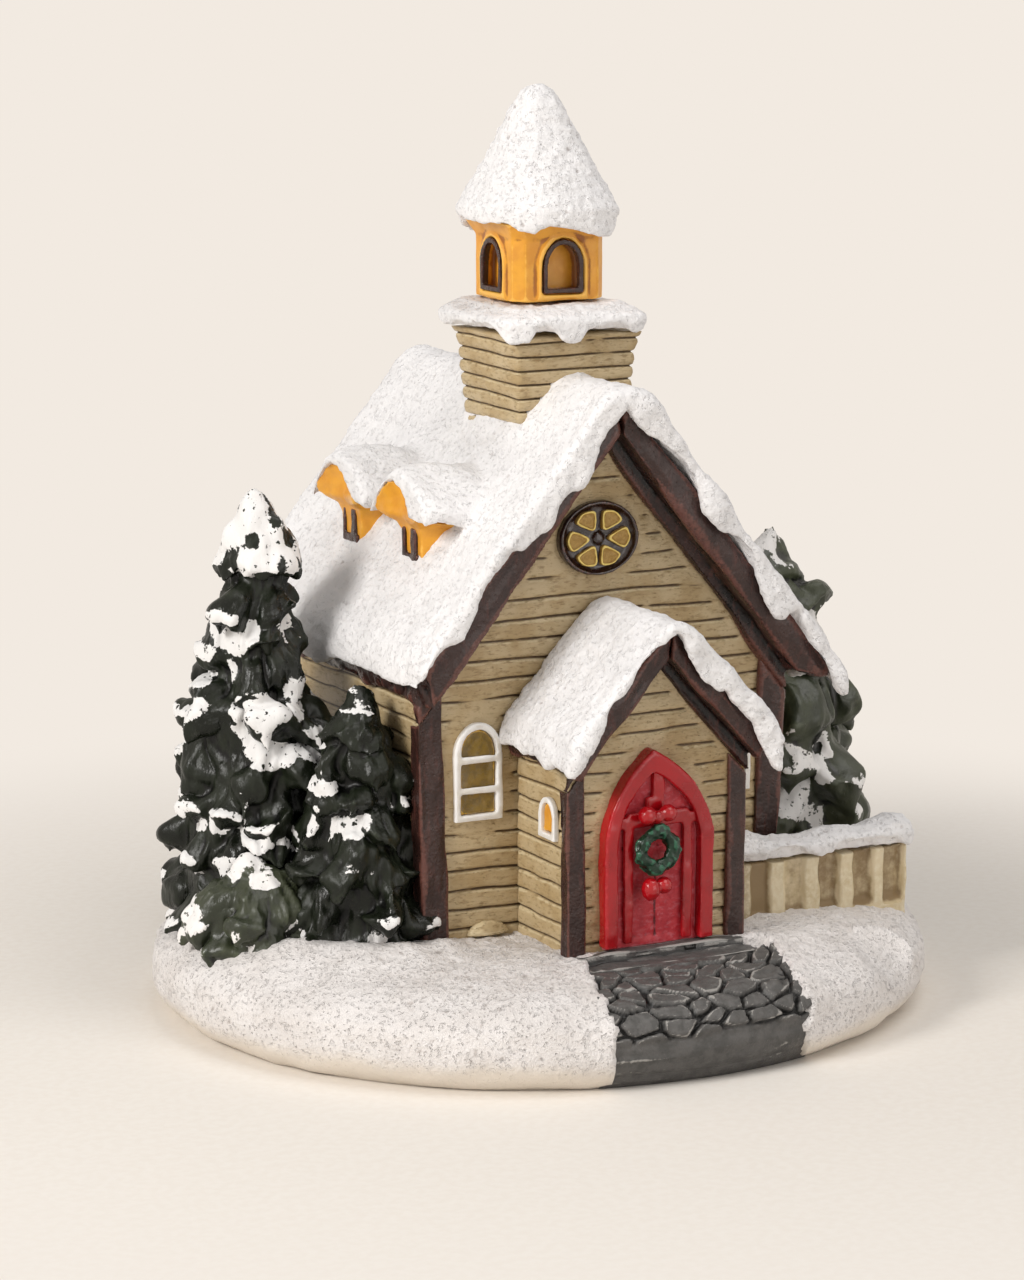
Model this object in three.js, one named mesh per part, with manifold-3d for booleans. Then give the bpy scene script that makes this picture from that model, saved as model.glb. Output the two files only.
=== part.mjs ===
// Snow-covered village church, a hand-painted cast-resin table ornament.
// It is built from separate castings and paint-stage pieces that seat against each other with a thin glue gap.
// Millimetres, +Z up, the door faces -Y. The origin is on the table under the middle of the round snow base.
import * as THREE from "three";
import { mergeVertices } from "three/addons/utils/BufferGeometryUtils.js";
import Module from "manifold-3d";

const wasm = await Module();
wasm.setup();

// Glue gap between two castings.
const glueGap = 0.3;

// Snow base: a round mound with a bulging side.
const mound = {
  halfWidth: 50.5,
  halfDepth: 47.5,
  footInset: 3.6,
  bulgeHeight: 5,
  height: 12,
};

// The church stands a little to the right of the base's middle.
const centreX = 1.9;
const socketFloor = 8;

// Main house: a gabled block whose side walls lean out slightly.
const house = {
  frontY: -13,
  depth: 48,
  footHalfWidth: 24.2,
  eaveHalfWidth: 25.2,
  apexZ: 74.2,
  pitch: 1.25,
};

// Porch: a smaller gabled block on the front wall.
const porch = {
  frontY: -27,
  footHalfWidth: 11.8,
  eaveHalfWidth: 12,
  apexZ: 48.4,
  pitch: 1.1,
};

// Roofs: a timber deck on the gable line and a blanket of snow that hangs over its edges.
const mainRoof = {
  deckHeight: 4.9,
  eaveEdge: 1.2,
  frontOverhang: 5,
  rearOverhang: 2.6,
  leftEnd: 26.7,
  rightEnd: 30.4,
  rakeWidth: 2.3,
  rakeDepth: 1.5,
  snowHeight: 3.6,
  snowPastDeck: 1.5,
  eaveLip: -0.4,
  ridgeRound: 4.6,
  dripPitch: 8.6,
  dripShort: 0.1,
  dripLong: 3.4,
};
const porchRoof = {
  deckHeight: 3.6,
  eaveEdge: 1,
  frontOverhang: 4,
  leftEnd: 13.4,
  rightEnd: 13.2,
  rakeWidth: 1.9,
  rakeDepth: 1,
  snowHeight: 3.1,
  snowPastDeck: 1.3,
  eaveLip: 0.1,
  ridgeRound: 3.2,
  dripPitch: 6.4,
  dripShort: 0.1,
  dripLong: 1.9,
};

// Dark corner posts, proud of the walls on both faces.
const post = { width: 3.5, proud: 0.9, wrap: 1.8 };
const porchPost = { width: 2.7, proud: 0.7, wrap: 1.5 };

// Stone steps and cobbled path in front of the door.
const steps = {
  count: 3,
  tread: 2.7,
  rise: 1.1,
  topZ: 12.4,
  leftX: -9.9,
  rightX: 13.3,
  slabFoot: 7,
};
const path = { sunk: 0.9, backLeftX: -9.2, backRightX: 15.6, frontLeftX: -13.6, frontRightX: 12.4 };

// Door in the porch: surround, leaf, glazing bars, wreath and bow.
const door = {
  offsetX: -0.4,
  apexShift: -0.9,
  halfWidth: 7.6,
  springZ: 26.5,
  apexZ: 37.2,
  surroundWidth: 1.9,
  surroundDepth: 2.2,
  leafDepth: 0.9,
  barWidth: 1.5,
  barDepth: 0.8,
  barZ: 28.6,
  stileInset: 1,
  headGap: 3.2,
};
const wreath = { z: 24.9, ringRadius: 2.15, tubeRadius: 0.95, berryRadius: 1.15 };

// Arched windows beside the porch, and the little ones in the porch's side walls.
const archWindow = {
  halfWidth: 3.3,
  sillZ: 26.8,
  height: 12.4,
  frameWidth: 0.85,
  frameDepth: 0.9,
  paneDepth: 0.4,
  leftX: -15.7,
  rightX: 19.9,
};
const sideWindow = {
  halfWidth: 2.1,
  sillZ: 25.9,
  height: 5.2,
  frameWidth: 0.7,
  frameDepth: 0.8,
  paneDepth: 0.4,
  y: -22.4,
};

// Round window in the gable: a ring with six spokes over gilded panes.
const rosette = {
  x: 0.9,
  z: 61,
  halfWidth: 5.6,
  halfHeight: 4.8,
  rim: 1.3,
  spoke: 0.75,
  hub: 1.1,
  depth: 1.4,
  paneDepth: 0.6,
};

// Bell tower: a flared block with a snow ledge, a square belfry and a snow-covered spire.
const tower = {
  offsetX: -0.3,
  y: 1.8,
  footZ: 70,
  footHalf: 6.9,
  topHalf: 8.5,
  topZ: 86.2,
  corniceHalf: 8.9,
  corniceHeight: 1.6,
  cornerCut: 0.5,
};
const ledge = {
  offsetX: -0.8,
  half: 10.4,
  height: 2.9,
  dripPitch: 8.2,
  dripShift: 1.8,
  dripShort: 0,
  dripLong: 2.8,
  cornerRound: 3,
};
const belfry = {
  offsetX: -1.3,
  half: 6.4,
  height: 9.8,
  cornerCut: 1.3,
  corniceHalf: 7.5,
  corniceHeight: 2,
  windowHalfWidth: 2.9,
  windowHeight: 6.9,
  windowSill: 0.9,
  nicheDepth: 1.7,
  frameWidth: 0.75,
  frameDepth: 0.6,
  surroundWidth: 0.6,
  surroundDepth: 0.4,
};
const spire = {
  offsetX: -1.5,
  half: 9.8,
  height: 16.7,
  lipDrop: 1.5,
  lipThickness: 1.3,
  squareness: 3,
  waves: 7,
  waveDepth: 0.5,
};

// Dormers: two on the left slope. A gilded throat flares out into wings under a snow cap.
const dormer = {
  throatHalfWidth: 3,
  throatZ: 59.6,
  wingHalfWidth: 7.2,
  wingZ: 61.6,
  faceX: 20.4,
  footZ: 47,
  apexZ: 66.7,
  capHalfWidth: 8,
  capHeight: 2.9,
  capOverhang: 2.1,
  capDrop: 4.3,
  windowHalfWidth: 2.2,
  windowHeight: 5.4,
  windowLift: 0.3,
  frameWidth: 0.55,
  frameDepth: 0.5,
  nearY: 0.2,
  farY: 18,
};

// Garden wall to the right of the porch, with square balusters and a cap of snow.
const fence = {
  leftX: 15.2,
  rightX: mound.halfWidth - 7.2,
  frontY: -20.3,
  thickness: 3.2,
  footZ: 8,
  topZ: 18.6,
  pitch: 5.1,
  balusterWidth: 2.1,
  panelInset: 0.9,
  railHeight: 1.1,
  capHeight: 3.1,
  capOverhang: 1,
  dripPitch: 6.6,
  dripShort: 0,
  dripLong: 1,
};

// How far each tree's middle stands out from the foot of the side wall beside it.
const treeStand = { tall: 12.4, short: 6.1, shrub: 17.9, right: 10.3 };

// Conifers: rounds of drooping branches about a core, under a pointed cap. reach is [height, radius].
const tallTree = {
  x: centreX - house.footHalfWidth - treeStand.tall,
  y: 9.6,
  topZ: 66.3,
  capFootZ: 56.4,
  capRadius: 6,
  roundHeight: 5,
  branchWidth: 5.8,
  branchSpacing: 8.3,
  coreShare: 0.78,
  seed: 100,
  reach: [
    [8, 10.5],
    [11, 13.4],
    [16, 13.4],
    [22, 12.3],
    [38, 11.6],
    [44, 9.4],
    [55, 5.6],
  ],
};
const shortTree = {
  x: centreX - house.footHalfWidth - treeStand.short,
  y: -6.2,
  topZ: 43.9,
  capFootZ: 40.2,
  capRadius: 2.5,
  roundHeight: 4.3,
  branchWidth: 5,
  branchSpacing: 7.3,
  coreShare: 0.74,
  seed: 200,
  reach: [
    [8, 10.6],
    [12, 11.4],
    [20, 10.4],
    [33, 7.6],
    [38, 5.4],
    [41, 3.4],
  ],
};
const shrub = {
  x: centreX - house.footHalfWidth - treeStand.shrub,
  y: -1.4,
  topZ: 23.4,
  capFootZ: 19,
  capRadius: 3.4,
  roundHeight: 4.6,
  branchWidth: 5.4,
  branchSpacing: 7.8,
  coreShare: 0.8,
  seed: 300,
  reach: [
    [8, 7.6],
    [12, 9.2],
    [17, 8.4],
    [20, 5.6],
  ],
};
const rightTree = {
  x: centreX + house.footHalfWidth + treeStand.right,
  y: 4.2,
  topZ: 56.6,
  capFootZ: 50,
  capRadius: 4.2,
  roundHeight: 7,
  branchWidth: 7.6,
  branchSpacing: 10.9,
  coreShare: 0.8,
  seed: 400,
  reach: [
    [8, 12.8],
    [14, 13.7],
    [20, 13.5],
    [27, 12.6],
    [33, 11.4],
    [46, 6.4],
    [50, 4.4],
  ],
};
const treeFootZ = 7;
const treeSides = 14;
const treeGrowth = {
  firstRoundZ: treeFootZ + 3.4,
  belowCap: 1.5,
  fewest: 4,
  heightDrift: 0.32,
  turnDrift: 0.3,
  reachShare: 0.98,
  reachDrift: 0.05,
  widthDrift: 0.24,
  rootReach: 0.5,
  rootRise: 1.2,
  tipDrop: 0.3,
  clearShare: 1.03,
};

// A low rounded stone against the foot of the front wall.
const footStone = { x: -14.2, halfWidth: 3, height: 1.9, depth: 1.3 };

const colours = {
  snow: 0xf4f1ee,
  slate: 0x4c4d4d,
  siding: 0xb29a70,
  timber: 0x352320,
  red: 0xb3121b,
  leafRed: 0xa02530,
  green: 0x1f2a20,
  gilt: 0xdc9a2c,
  pane: 0x8a6420,
  white: 0xf3f0ea,
  stone: 0xc3ab82,
};

// A closed geometry as a manifold-3d solid.
function solid(geometry) {
  const loose = geometry.index ? geometry.toNonIndexed() : geometry;
  const bare = new THREE.BufferGeometry().setAttribute("position", loose.getAttribute("position"));
  const merged = mergeVertices(bare, 1e-4);
  const mesh = new wasm.Mesh({
    numProp: 3,
    vertProperties: merged.attributes.position.array,
    triVerts: new Uint32Array(merged.index.array),
  });
  return new wasm.Manifold(mesh);
}

// A manifold-3d solid as a geometry.
function geometryOf(made) {
  const mesh = made.getMesh();
  const geometry = new THREE.BufferGeometry();
  geometry.setAttribute("position", new THREE.BufferAttribute(mesh.vertProperties, 3));
  geometry.setIndex(new THREE.BufferAttribute(mesh.triVerts, 1));
  geometry.computeVertexNormals();
  return geometry;
}

function join(...solids) {
  return solids.reduce((all, one) => all.add(one));
}

function polygon(points) {
  return new THREE.Shape(points.map(([x, y]) => new THREE.Vector2(x, y)));
}

// An outline pushed up along Z.
function pushed(shape, depth, curveSegments) {
  return new THREE.ExtrudeGeometry(shape, { depth, bevelEnabled: false, curveSegments });
}

// An outline drawn as seen from the front (x, z), from one Y to another.
function frontPrism(shape, yFront, yBack, curveSegments = 8) {
  const geometry = pushed(shape, yBack - yFront, curveSegments);
  geometry.rotateX(Math.PI / 2);
  geometry.translate(0, yBack, 0);
  return solid(geometry);
}

// An outline drawn as seen from the right (y, z), from one X to another.
function sidePrism(shape, xLeft, xRight, curveSegments = 8) {
  const geometry = pushed(shape, xRight - xLeft, curveSegments);
  geometry.rotateX(Math.PI / 2);
  geometry.rotateZ(Math.PI / 2);
  geometry.translate(xLeft, 0, 0);
  return solid(geometry);
}

// An outline drawn in plan (x, y), from one Z to another.
function planPrism(shape, zLow, zHigh, curveSegments = 8) {
  const geometry = pushed(shape, zHigh - zLow, curveSegments);
  geometry.translate(0, 0, zLow);
  return solid(geometry);
}

function box(xLow, xHigh, yLow, yHigh, zLow, zHigh) {
  const geometry = new THREE.BoxGeometry(xHigh - xLow, yHigh - yLow, zHigh - zLow);
  geometry.translate((xLow + xHigh) / 2, (yLow + yHigh) / 2, (zLow + zHigh) / 2);
  return solid(geometry);
}

// A closed surface from rings of points that run from the lowest pole to the highest.
function ringedSolid(rings, lowPole, highPole) {
  const sides = rings[0].length;
  const points = [lowPole, ...rings.flat(), highPole];
  const index = [];
  const at = (ring, side) => 1 + ring * sides + (side % sides);
  for (let side = 0; side < sides; side += 1) {
    index.push(0, at(0, side + 1), at(0, side));
    index.push(points.length - 1, at(rings.length - 1, side), at(rings.length - 1, side + 1));
    for (let ring = 0; ring + 1 < rings.length; ring += 1) {
      index.push(at(ring, side), at(ring, side + 1), at(ring + 1, side + 1));
      index.push(at(ring, side), at(ring + 1, side + 1), at(ring + 1, side));
    }
  }
  const geometry = new THREE.BufferGeometry();
  geometry.setAttribute("position", new THREE.Float32BufferAttribute(points.flat(), 3));
  geometry.setIndex(index);
  return solid(geometry);
}

// A square block with cut corners, centred on (x, y), through a half-width at each height.
function flaredBlock(x, y, cornerCut, levels) {
  const rings = levels.map(([z, half]) => {
    const near = half - cornerCut;
    return [
      [half, -near],
      [half, near],
      [near, half],
      [-near, half],
      [-half, near],
      [-half, -near],
      [-near, -half],
      [near, -half],
    ].map(([dx, dy]) => [x + dx, y + dy, z]);
  });
  return ringedSolid(rings, [x, y, levels[0][0]], [x, y, levels[levels.length - 1][0]]);
}

// The mound with its outside moved out by a clearance.
function moundSolid(clearance = 0) {
  const wide = mound.halfWidth + clearance;
  const top = mound.height + clearance;
  const profile = [
    [0, -Math.max(clearance, 0)],
    [wide - mound.footInset, -Math.max(clearance, 0)],
    [wide - mound.footInset * 0.28, mound.bulgeHeight * 0.4],
    [wide, mound.bulgeHeight * 0.75],
    [wide, mound.bulgeHeight * 1.15],
    [wide - mound.footInset * 0.24, top * 0.68],
    [wide * 0.92, top * 0.845],
    [wide * 0.82, top * 0.935],
    [wide * 0.64, top * 0.985],
    [0, top],
  ];
  const geometry = new THREE.LatheGeometry(profile.map(([r, z]) => new THREE.Vector2(r, z)), 56);
  geometry.rotateX(Math.PI / 2);
  geometry.scale(1, mound.halfDepth / mound.halfWidth, 1);
  return solid(geometry);
}

// Height of a gable's sloping line over a distance from its middle.
function gableZ(block, distance) {
  return block.apexZ - block.pitch * Math.abs(distance);
}

function gabledBlock(block, yFront, yBack, clearance = 0) {
  const foot = block.footHalfWidth + clearance;
  const eave = block.eaveHalfWidth + clearance;
  const lift = clearance * 1.6;
  const eaveZ = gableZ(block, block.eaveHalfWidth) + lift;
  const outline = polygon([
    [-foot, socketFloor - clearance],
    [foot, socketFloor - clearance],
    [eave, eaveZ],
    [0, block.apexZ + lift],
    [-eave, eaveZ],
  ]);
  return frontPrism(outline, yFront, yBack);
}

// Side wall's half-width at a height.
function wallHalf(block, z) {
  const eaveZ = gableZ(block, block.eaveHalfWidth);
  const share = (z - socketFloor) / (eaveZ - socketFloor);
  return THREE.MathUtils.lerp(block.footHalfWidth, block.eaveHalfWidth, share);
}

// One slope of timber deck with the rake moulding under its overhang. side is -1 on the left, 1 on the right.
function roofDeck(block, roof, side, yFront, yBack, rakes) {
  const end = side < 0 ? roof.leftEnd : roof.rightEnd;
  const low = (x) => gableZ(block, x) + glueGap;
  const wallFace = block.eaveHalfWidth + 0.6;
  const slab = polygon([
    [side * (glueGap / 2), low(glueGap / 2)],
    [side * wallFace, low(wallFace)],
    [side * end, low(end) + roof.deckHeight - roof.eaveEdge],
    [side * end, low(end) + roof.deckHeight],
    [side * (glueGap / 2), low(glueGap / 2) + roof.deckHeight],
  ]);
  const deck = frontPrism(slab, yFront, yBack);
  const rakeEnd = block.eaveHalfWidth + post.proud;
  const rake = polygon([
    [side * (glueGap / 2), low(glueGap / 2) + 0.1],
    [side * rakeEnd, low(rakeEnd) + 0.1],
    [side * rakeEnd, low(rakeEnd) - roof.rakeWidth],
    [side * (glueGap / 2), low(glueGap / 2) - roof.rakeWidth],
  ]);
  return join(deck, ...rakes.map(([near, far]) => frontPrism(rake, near, far)));
}

// How far a snow edge hangs below its line: long and short lobes along the edge.
function dripAt(along, edge, share = 1) {
  const lobe = Math.abs(Math.sin((Math.PI * along) / edge.dripPitch));
  const vary = 0.72 + 0.28 * Math.sin((2.3 * along) / edge.dripPitch + 1);
  return edge.dripShort + (edge.dripLong - edge.dripShort) * share * vary * Math.pow(lobe, 0.8);
}

// Blanket of snow over both slopes, with lobed lips at the front and back and a wavy eave.
function snowBlanket(block, roof, yFront, yBack, lips) {
  const deckTop = (x) => gableZ(block, x) + glueGap + roof.deckHeight;
  const outer = (x) => deckTop(x) + roof.snowHeight;
  const left = -(roof.leftEnd + roof.snowPastDeck);
  const right = roof.rightEnd + roof.snowPastDeck;
  const section = new THREE.Shape();
  const lipTop = (x) => outer(x) - roof.snowHeight * 0.3;
  const lipFoot = (x) => deckTop(x) - roof.eaveLip;
  section.moveTo(left * 0.995, lipFoot(left));
  section.quadraticCurveTo(left * 1.012, lipTop(left), left * 0.955, outer(left * 0.955));
  section.lineTo(-roof.ridgeRound, outer(roof.ridgeRound));
  section.quadraticCurveTo(0, outer(0), roof.ridgeRound, outer(roof.ridgeRound));
  section.lineTo(right * 0.955, outer(right * 0.955));
  section.quadraticCurveTo(right * 1.012, lipTop(right), right * 0.995, lipFoot(right));
  section.lineTo(roof.rightEnd + glueGap, lipFoot(right));
  section.lineTo(roof.rightEnd + glueGap, deckTop(roof.rightEnd) + glueGap);
  section.lineTo(0, deckTop(0) + glueGap);
  section.lineTo(-(roof.leftEnd + glueGap), deckTop(roof.leftEnd) + glueGap);
  section.lineTo(-(roof.leftEnd + glueGap), lipFoot(left));
  const blanket = frontPrism(section, yFront, yBack, 4);
  const lipShape = new THREE.Shape();
  const stations = 44;
  lipShape.moveTo(left * 0.955, outer(left * 0.955));
  lipShape.lineTo(-roof.ridgeRound, outer(roof.ridgeRound));
  lipShape.quadraticCurveTo(0, outer(0), roof.ridgeRound, outer(roof.ridgeRound));
  lipShape.lineTo(right * 0.955, outer(right * 0.955));
  for (let i = 0; i <= stations; i += 1) {
    const x = THREE.MathUtils.lerp(right, left, i / stations);
    const along = Math.abs(x) * Math.hypot(1, block.pitch) + (x > 0 ? 2.4 : 0);
    const share = (x > 0 ? 0.6 : 1) * (1 - (0.75 * Math.abs(x)) / roof.leftEnd);
    lipShape.lineTo(x, deckTop(x) - dripAt(along, roof, Math.max(share, 0.1)));
  }
  return join(blanket, ...lips.map(([near, far]) => frontPrism(lipShape, near, far, 4)));
}

// Pointed arch standing on a sill line.
function pointedArch(halfWidth, sillZ, springZ, apexZ, apexX = 0) {
  const arch = new THREE.Shape();
  const shoulder = THREE.MathUtils.lerp(springZ, apexZ, 0.62);
  arch.moveTo(-halfWidth, sillZ);
  arch.lineTo(halfWidth, sillZ);
  arch.lineTo(halfWidth, springZ);
  arch.quadraticCurveTo(halfWidth * 0.86, shoulder, apexX, apexZ);
  arch.quadraticCurveTo(-halfWidth * 0.86, shoulder, -halfWidth, springZ);
  return arch;
}

// Round-headed arch standing on a sill line.
function roundArch(halfWidth, sillZ, topZ) {
  const springZ = topZ - halfWidth * 1.25;
  const arch = new THREE.Shape();
  arch.moveTo(-halfWidth, sillZ);
  arch.lineTo(halfWidth, sillZ);
  arch.lineTo(halfWidth, springZ);
  arch.bezierCurveTo(halfWidth, springZ + halfWidth * 0.8, halfWidth * 0.5, topZ, 0, topZ);
  arch.bezierCurveTo(-halfWidth * 0.5, topZ, -halfWidth, springZ + halfWidth * 0.8, -halfWidth, springZ);
  return arch;
}

// A repeatable scatter between -1 and 1.
function scatter(seed) {
  const value = Math.sin(seed * 12.9898) * 43758.5453;
  return 2 * (value - Math.floor(value)) - 1;
}

// A tree's outer radius at a height.
function treeRadius(tree, z) {
  const next = tree.reach.findIndex(([height]) => height > z);
  if (next === 0) return tree.reach[0][1];
  if (next < 0) return tree.reach[tree.reach.length - 1][1];
  const [lowZ, lowRadius] = tree.reach[next - 1];
  const [highZ, highRadius] = tree.reach[next];
  return THREE.MathUtils.lerp(lowRadius, highRadius, (z - lowZ) / (highZ - lowZ));
}

// A closed round of rings about a tree's middle, from [height, radius] levels.
function treeRings(tree, levels) {
  const rings = levels.map(([z, radius]) =>
    Array.from({ length: treeSides }, (_, side) => {
      const turn = (2 * Math.PI * side) / treeSides;
      return [tree.x + radius * Math.cos(turn), tree.y + radius * Math.sin(turn), z];
    }),
  );
  return ringedSolid(rings, [tree.x, tree.y, levels[0][0]], [tree.x, tree.y, levels[levels.length - 1][0]]);
}

// One branch: it leaves the core high up, hangs out, thins to its tip and is filled back to the core.
function branch(root, tip, width) {
  const bead = (x, y, z, radius) => wasm.Manifold.sphere(radius, 8).translate([x, y, z]);
  const along = (share, radius) => {
    const at = root.clone().lerp(tip, share);
    return bead(at.x, at.y, at.z, radius);
  };
  return wasm.Manifold.hull([
    along(0, width * 0.3),
    along(0.6, width * 0.44),
    along(0.93, width * 0.16),
    bead(root.x, root.y, tip.z, width * 0.2),
  ]);
}

// A tree's core under its branches, as [height, radius] levels, with a margin added.
function coreLevels(tree, share, margin) {
  const levels = [];
  const count = 6;
  for (let i = 0; i <= count; i += 1) {
    const z = THREE.MathUtils.lerp(treeFootZ, tree.capFootZ, i / count);
    levels.push([z, treeRadius(tree, z) * share + margin]);
  }
  return levels;
}

// A conifer: a core, a pointed cap and its branches.
function conifer(tree) {
  const capHeight = tree.topZ - tree.capFootZ;
  const capLevels = [
    [-0.03, 0.88],
    [0.06, 1],
    [0.4, 0.7],
    [0.86, 0.26],
    [0.97, 0.12],
  ].map(([share, width]) => [tree.capFootZ + share * capHeight, tree.capRadius * width]);
  const neck = [tree.capFootZ + capHeight * 0.2, tree.capRadius * 0.5];
  const parts = [treeRings(tree, [...coreLevels(tree, tree.coreShare, 0), neck]), treeRings(tree, capLevels)];
  const grow = treeGrowth;
  const at = (turn, away, z) => new THREE.Vector3(tree.x + away * Math.cos(turn), tree.y + away * Math.sin(turn), z);
  let seed = tree.seed;
  let roundZ = grow.firstRoundZ;
  for (let round = 0; roundZ < tree.capFootZ - grow.belowCap; round += 1) {
    const count = Math.max(grow.fewest, Math.round((2 * Math.PI * treeRadius(tree, roundZ)) / tree.branchSpacing));
    for (let i = 0; i < count; i += 1) {
      const turn = (2 * Math.PI * (i + 0.5 * (round % 2) + grow.turnDrift * scatter(seed))) / count;
      const z = roundZ + grow.heightDrift * tree.roundHeight * scatter(seed + 1);
      const away = treeRadius(tree, z) * (grow.reachShare + grow.reachDrift * scatter(seed + 2));
      const width = tree.branchWidth * (1 + grow.widthDrift * scatter(seed + 3));
      const rootTurn = turn + grow.turnDrift * scatter(seed + 4);
      const rootZ = Math.min(z + grow.rootRise * tree.roundHeight, tree.capFootZ);
      const root = at(rootTurn, away * grow.rootReach, rootZ);
      const tip = at(turn, away, z - grow.tipDrop * tree.roundHeight);
      parts.push(branch(root, tip, width));
      seed += 6;
    }
    roundZ += tree.roundHeight;
  }
  return wasm.Manifold.union(parts);
}

// The space that a tree's neighbours leave to it: its reach with the fullest branch tips and a glue gap.
function treeSpace(tree) {
  const margin = tree.branchWidth * 0.2 + glueGap;
  const top = [tree.topZ + glueGap * 2, tree.capRadius * 0.3];
  return treeRings(tree, [...coreLevels(tree, treeGrowth.clearShare, margin), top]);
}

const houseBackY = house.frontY + house.depth;
const deckFrontY = house.frontY - mainRoof.frontOverhang;
const deckBackY = houseBackY + mainRoof.rearOverhang;
const porchDeckFrontY = porch.frontY - porchRoof.frontOverhang;
const snowLip = 1.4;
const clearAbove = 5;
const snowFrontY = deckFrontY - glueGap - snowLip;
const snowBackY = deckBackY + glueGap + snowLip;
const porchSnowFrontY = porchDeckFrontY - glueGap - snowLip;
const doorX = centreX + door.offsetX;
const mainSnowZ = (x) => gableZ(house, x) + glueGap + mainRoof.deckHeight + mainRoof.snowHeight;

const root = new THREE.Group();
root.name = "village_church";

const materials = Object.fromEntries(
  Object.entries(colours).map(([name, color]) => [
    name,
    new THREE.MeshStandardMaterial({ color, roughness: name === "red" ? 0.35 : 0.75, metalness: 0 }),
  ]),
);

function place(name, made, material) {
  const mesh = new THREE.Mesh(geometryOf(made), materials[material]);
  mesh.name = name;
  root.add(mesh);
}

function slid(made, x, y = 0, z = 0) {
  return made.translate([x, y, z]);
}

// A block's sides with the posts, for sockets in the base and cuts in the trees.
function standingSpace() {
  const wide = house.footHalfWidth + post.proud + 0.5;
  const porchWide = porch.footHalfWidth + porchPost.proud + 0.4;
  const low = socketFloor - glueGap;
  const high = mound.height * 2;
  const back = houseBackY + glueGap;
  const main = box(-house.footHalfWidth - 0.5, house.footHalfWidth + 0.5, house.frontY, back, low, high);
  const fronts = [-1, 1].flatMap((side) =>
    [house.frontY - post.proud, houseBackY - post.wrap].map((y) => {
      const inner = side * (house.footHalfWidth - post.width);
      const outer = side * wide;
      const reach = post.proud + post.wrap + glueGap;
      return box(Math.min(inner, outer), Math.max(inner, outer), y - glueGap, y + reach, low, high);
    }),
  );
  const entry = box(-porchWide, porchWide, porch.frontY - porchPost.proud - glueGap, house.frontY, low, high);
  return slid(join(main, ...fronts, entry), centreX);
}

// Walls and roof with a clearance all round, for cutting the trees.
function churchSpace() {
  const clear = glueGap + post.proud;
  const walls = gabledBlock(house, house.frontY - clear, houseBackY + clear, clear);
  const reach = mainRoof.rightEnd + mainRoof.snowPastDeck + 0.8;
  const snowTop = (x) => mainSnowZ(x) + glueGap;
  const roof = polygon([
    [-reach, snowTop(reach) + 1],
    [0, snowTop(0) + 1],
    [reach, snowTop(reach) + 1],
    [reach, snowTop(reach) - mainRoof.snowHeight - mainRoof.deckHeight - 1.2],
    [-reach, snowTop(reach) - mainRoof.snowHeight - mainRoof.deckHeight - 1.2],
  ]);
  const roofBlock = frontPrism(roof, snowFrontY - glueGap, snowBackY + glueGap);
  const leftTrim = mainRoof.leftEnd + mainRoof.snowPastDeck + 0.6;
  const spare = box(-reach - 1, -leftTrim, snowFrontY - 2, snowBackY + 2, 0, house.apexZ);
  return slid(join(walls, roofBlock.subtract(spare)), centreX);
}

// Path outline in plan, from the steps to the front rim of the base.
const stepsFrontY = porch.frontY - steps.count * steps.tread;
const pathFrontY = -mound.halfDepth - 2;
const pathOutline = (clearance) =>
  polygon([
    [path.backLeftX - clearance, porch.frontY],
    [path.frontLeftX - clearance, pathFrontY],
    [path.frontRightX + clearance, pathFrontY],
    [path.backRightX + clearance, porch.frontY],
  ]);

// Low slabs that climb to the door.
function stepStack(clearance = 0) {
  const slabs = [];
  for (let i = 0; i < steps.count; i += 1) {
    const front = porch.frontY - (steps.count - i) * steps.tread;
    const top = steps.topZ - (steps.count - 1 - i) * steps.rise;
    const left = steps.leftX - clearance;
    const right = steps.rightX + clearance;
    const back = porch.frontY - glueGap + clearance;
    slabs.push(box(left, right, front - clearance, back, steps.slabFoot - clearance, top));
  }
  return join(...slabs);
}

const stepSpace = join(
  stepStack(glueGap),
  box(
    steps.leftX - glueGap,
    steps.rightX + glueGap,
    stepsFrontY - glueGap,
    porch.frontY - glueGap,
    steps.slabFoot,
    mound.height + clearAbove,
  ),
);
const socket = standingSpace();

const trees = [
  ["tree_tall_left", tallTree],
  ["tree_short_left", shortTree],
  ["shrub_left", shrub],
  ["tree_right", rightTree],
];
const fenceSpace = box(
  fence.leftX - glueGap,
  fence.rightX + glueGap,
  fence.frontY - glueGap,
  fence.frontY + fence.thickness + glueGap,
  fence.footZ - glueGap,
  fence.topZ,
);

const wholeMound = moundSolid();
place(
  "snow_base",
  wholeMound
    .subtract(planPrism(pathOutline(glueGap), -1, mound.height + clearAbove))
    .subtract(stepSpace)
    .subtract(socket)
    .subtract(fenceSpace),
  "snow",
);
place(
  "cobble_path",
  wholeMound
    .intersect(slid(moundSolid(), 0, 0, -path.sunk))
    .intersect(planPrism(pathOutline(0), -1, mound.height + clearAbove))
    .subtract(stepSpace)
    .subtract(socket),
  "slate",
);
const porchFootSpace = slid(
  box(
    -porch.footHalfWidth - porchPost.proud - glueGap,
    porch.footHalfWidth + porchPost.proud + glueGap,
    porch.frontY - porchPost.proud - glueGap,
    house.frontY,
    socketFloor - glueGap,
    steps.topZ + 1,
  ),
  centreX,
);
place("door_steps", stepStack().subtract(porchFootSpace), "slate");

place("house_walls", slid(gabledBlock(house, house.frontY, houseBackY), centreX), "siding");
place("porch_walls", slid(gabledBlock(porch, porch.frontY, house.frontY), centreX), "siding");

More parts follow.
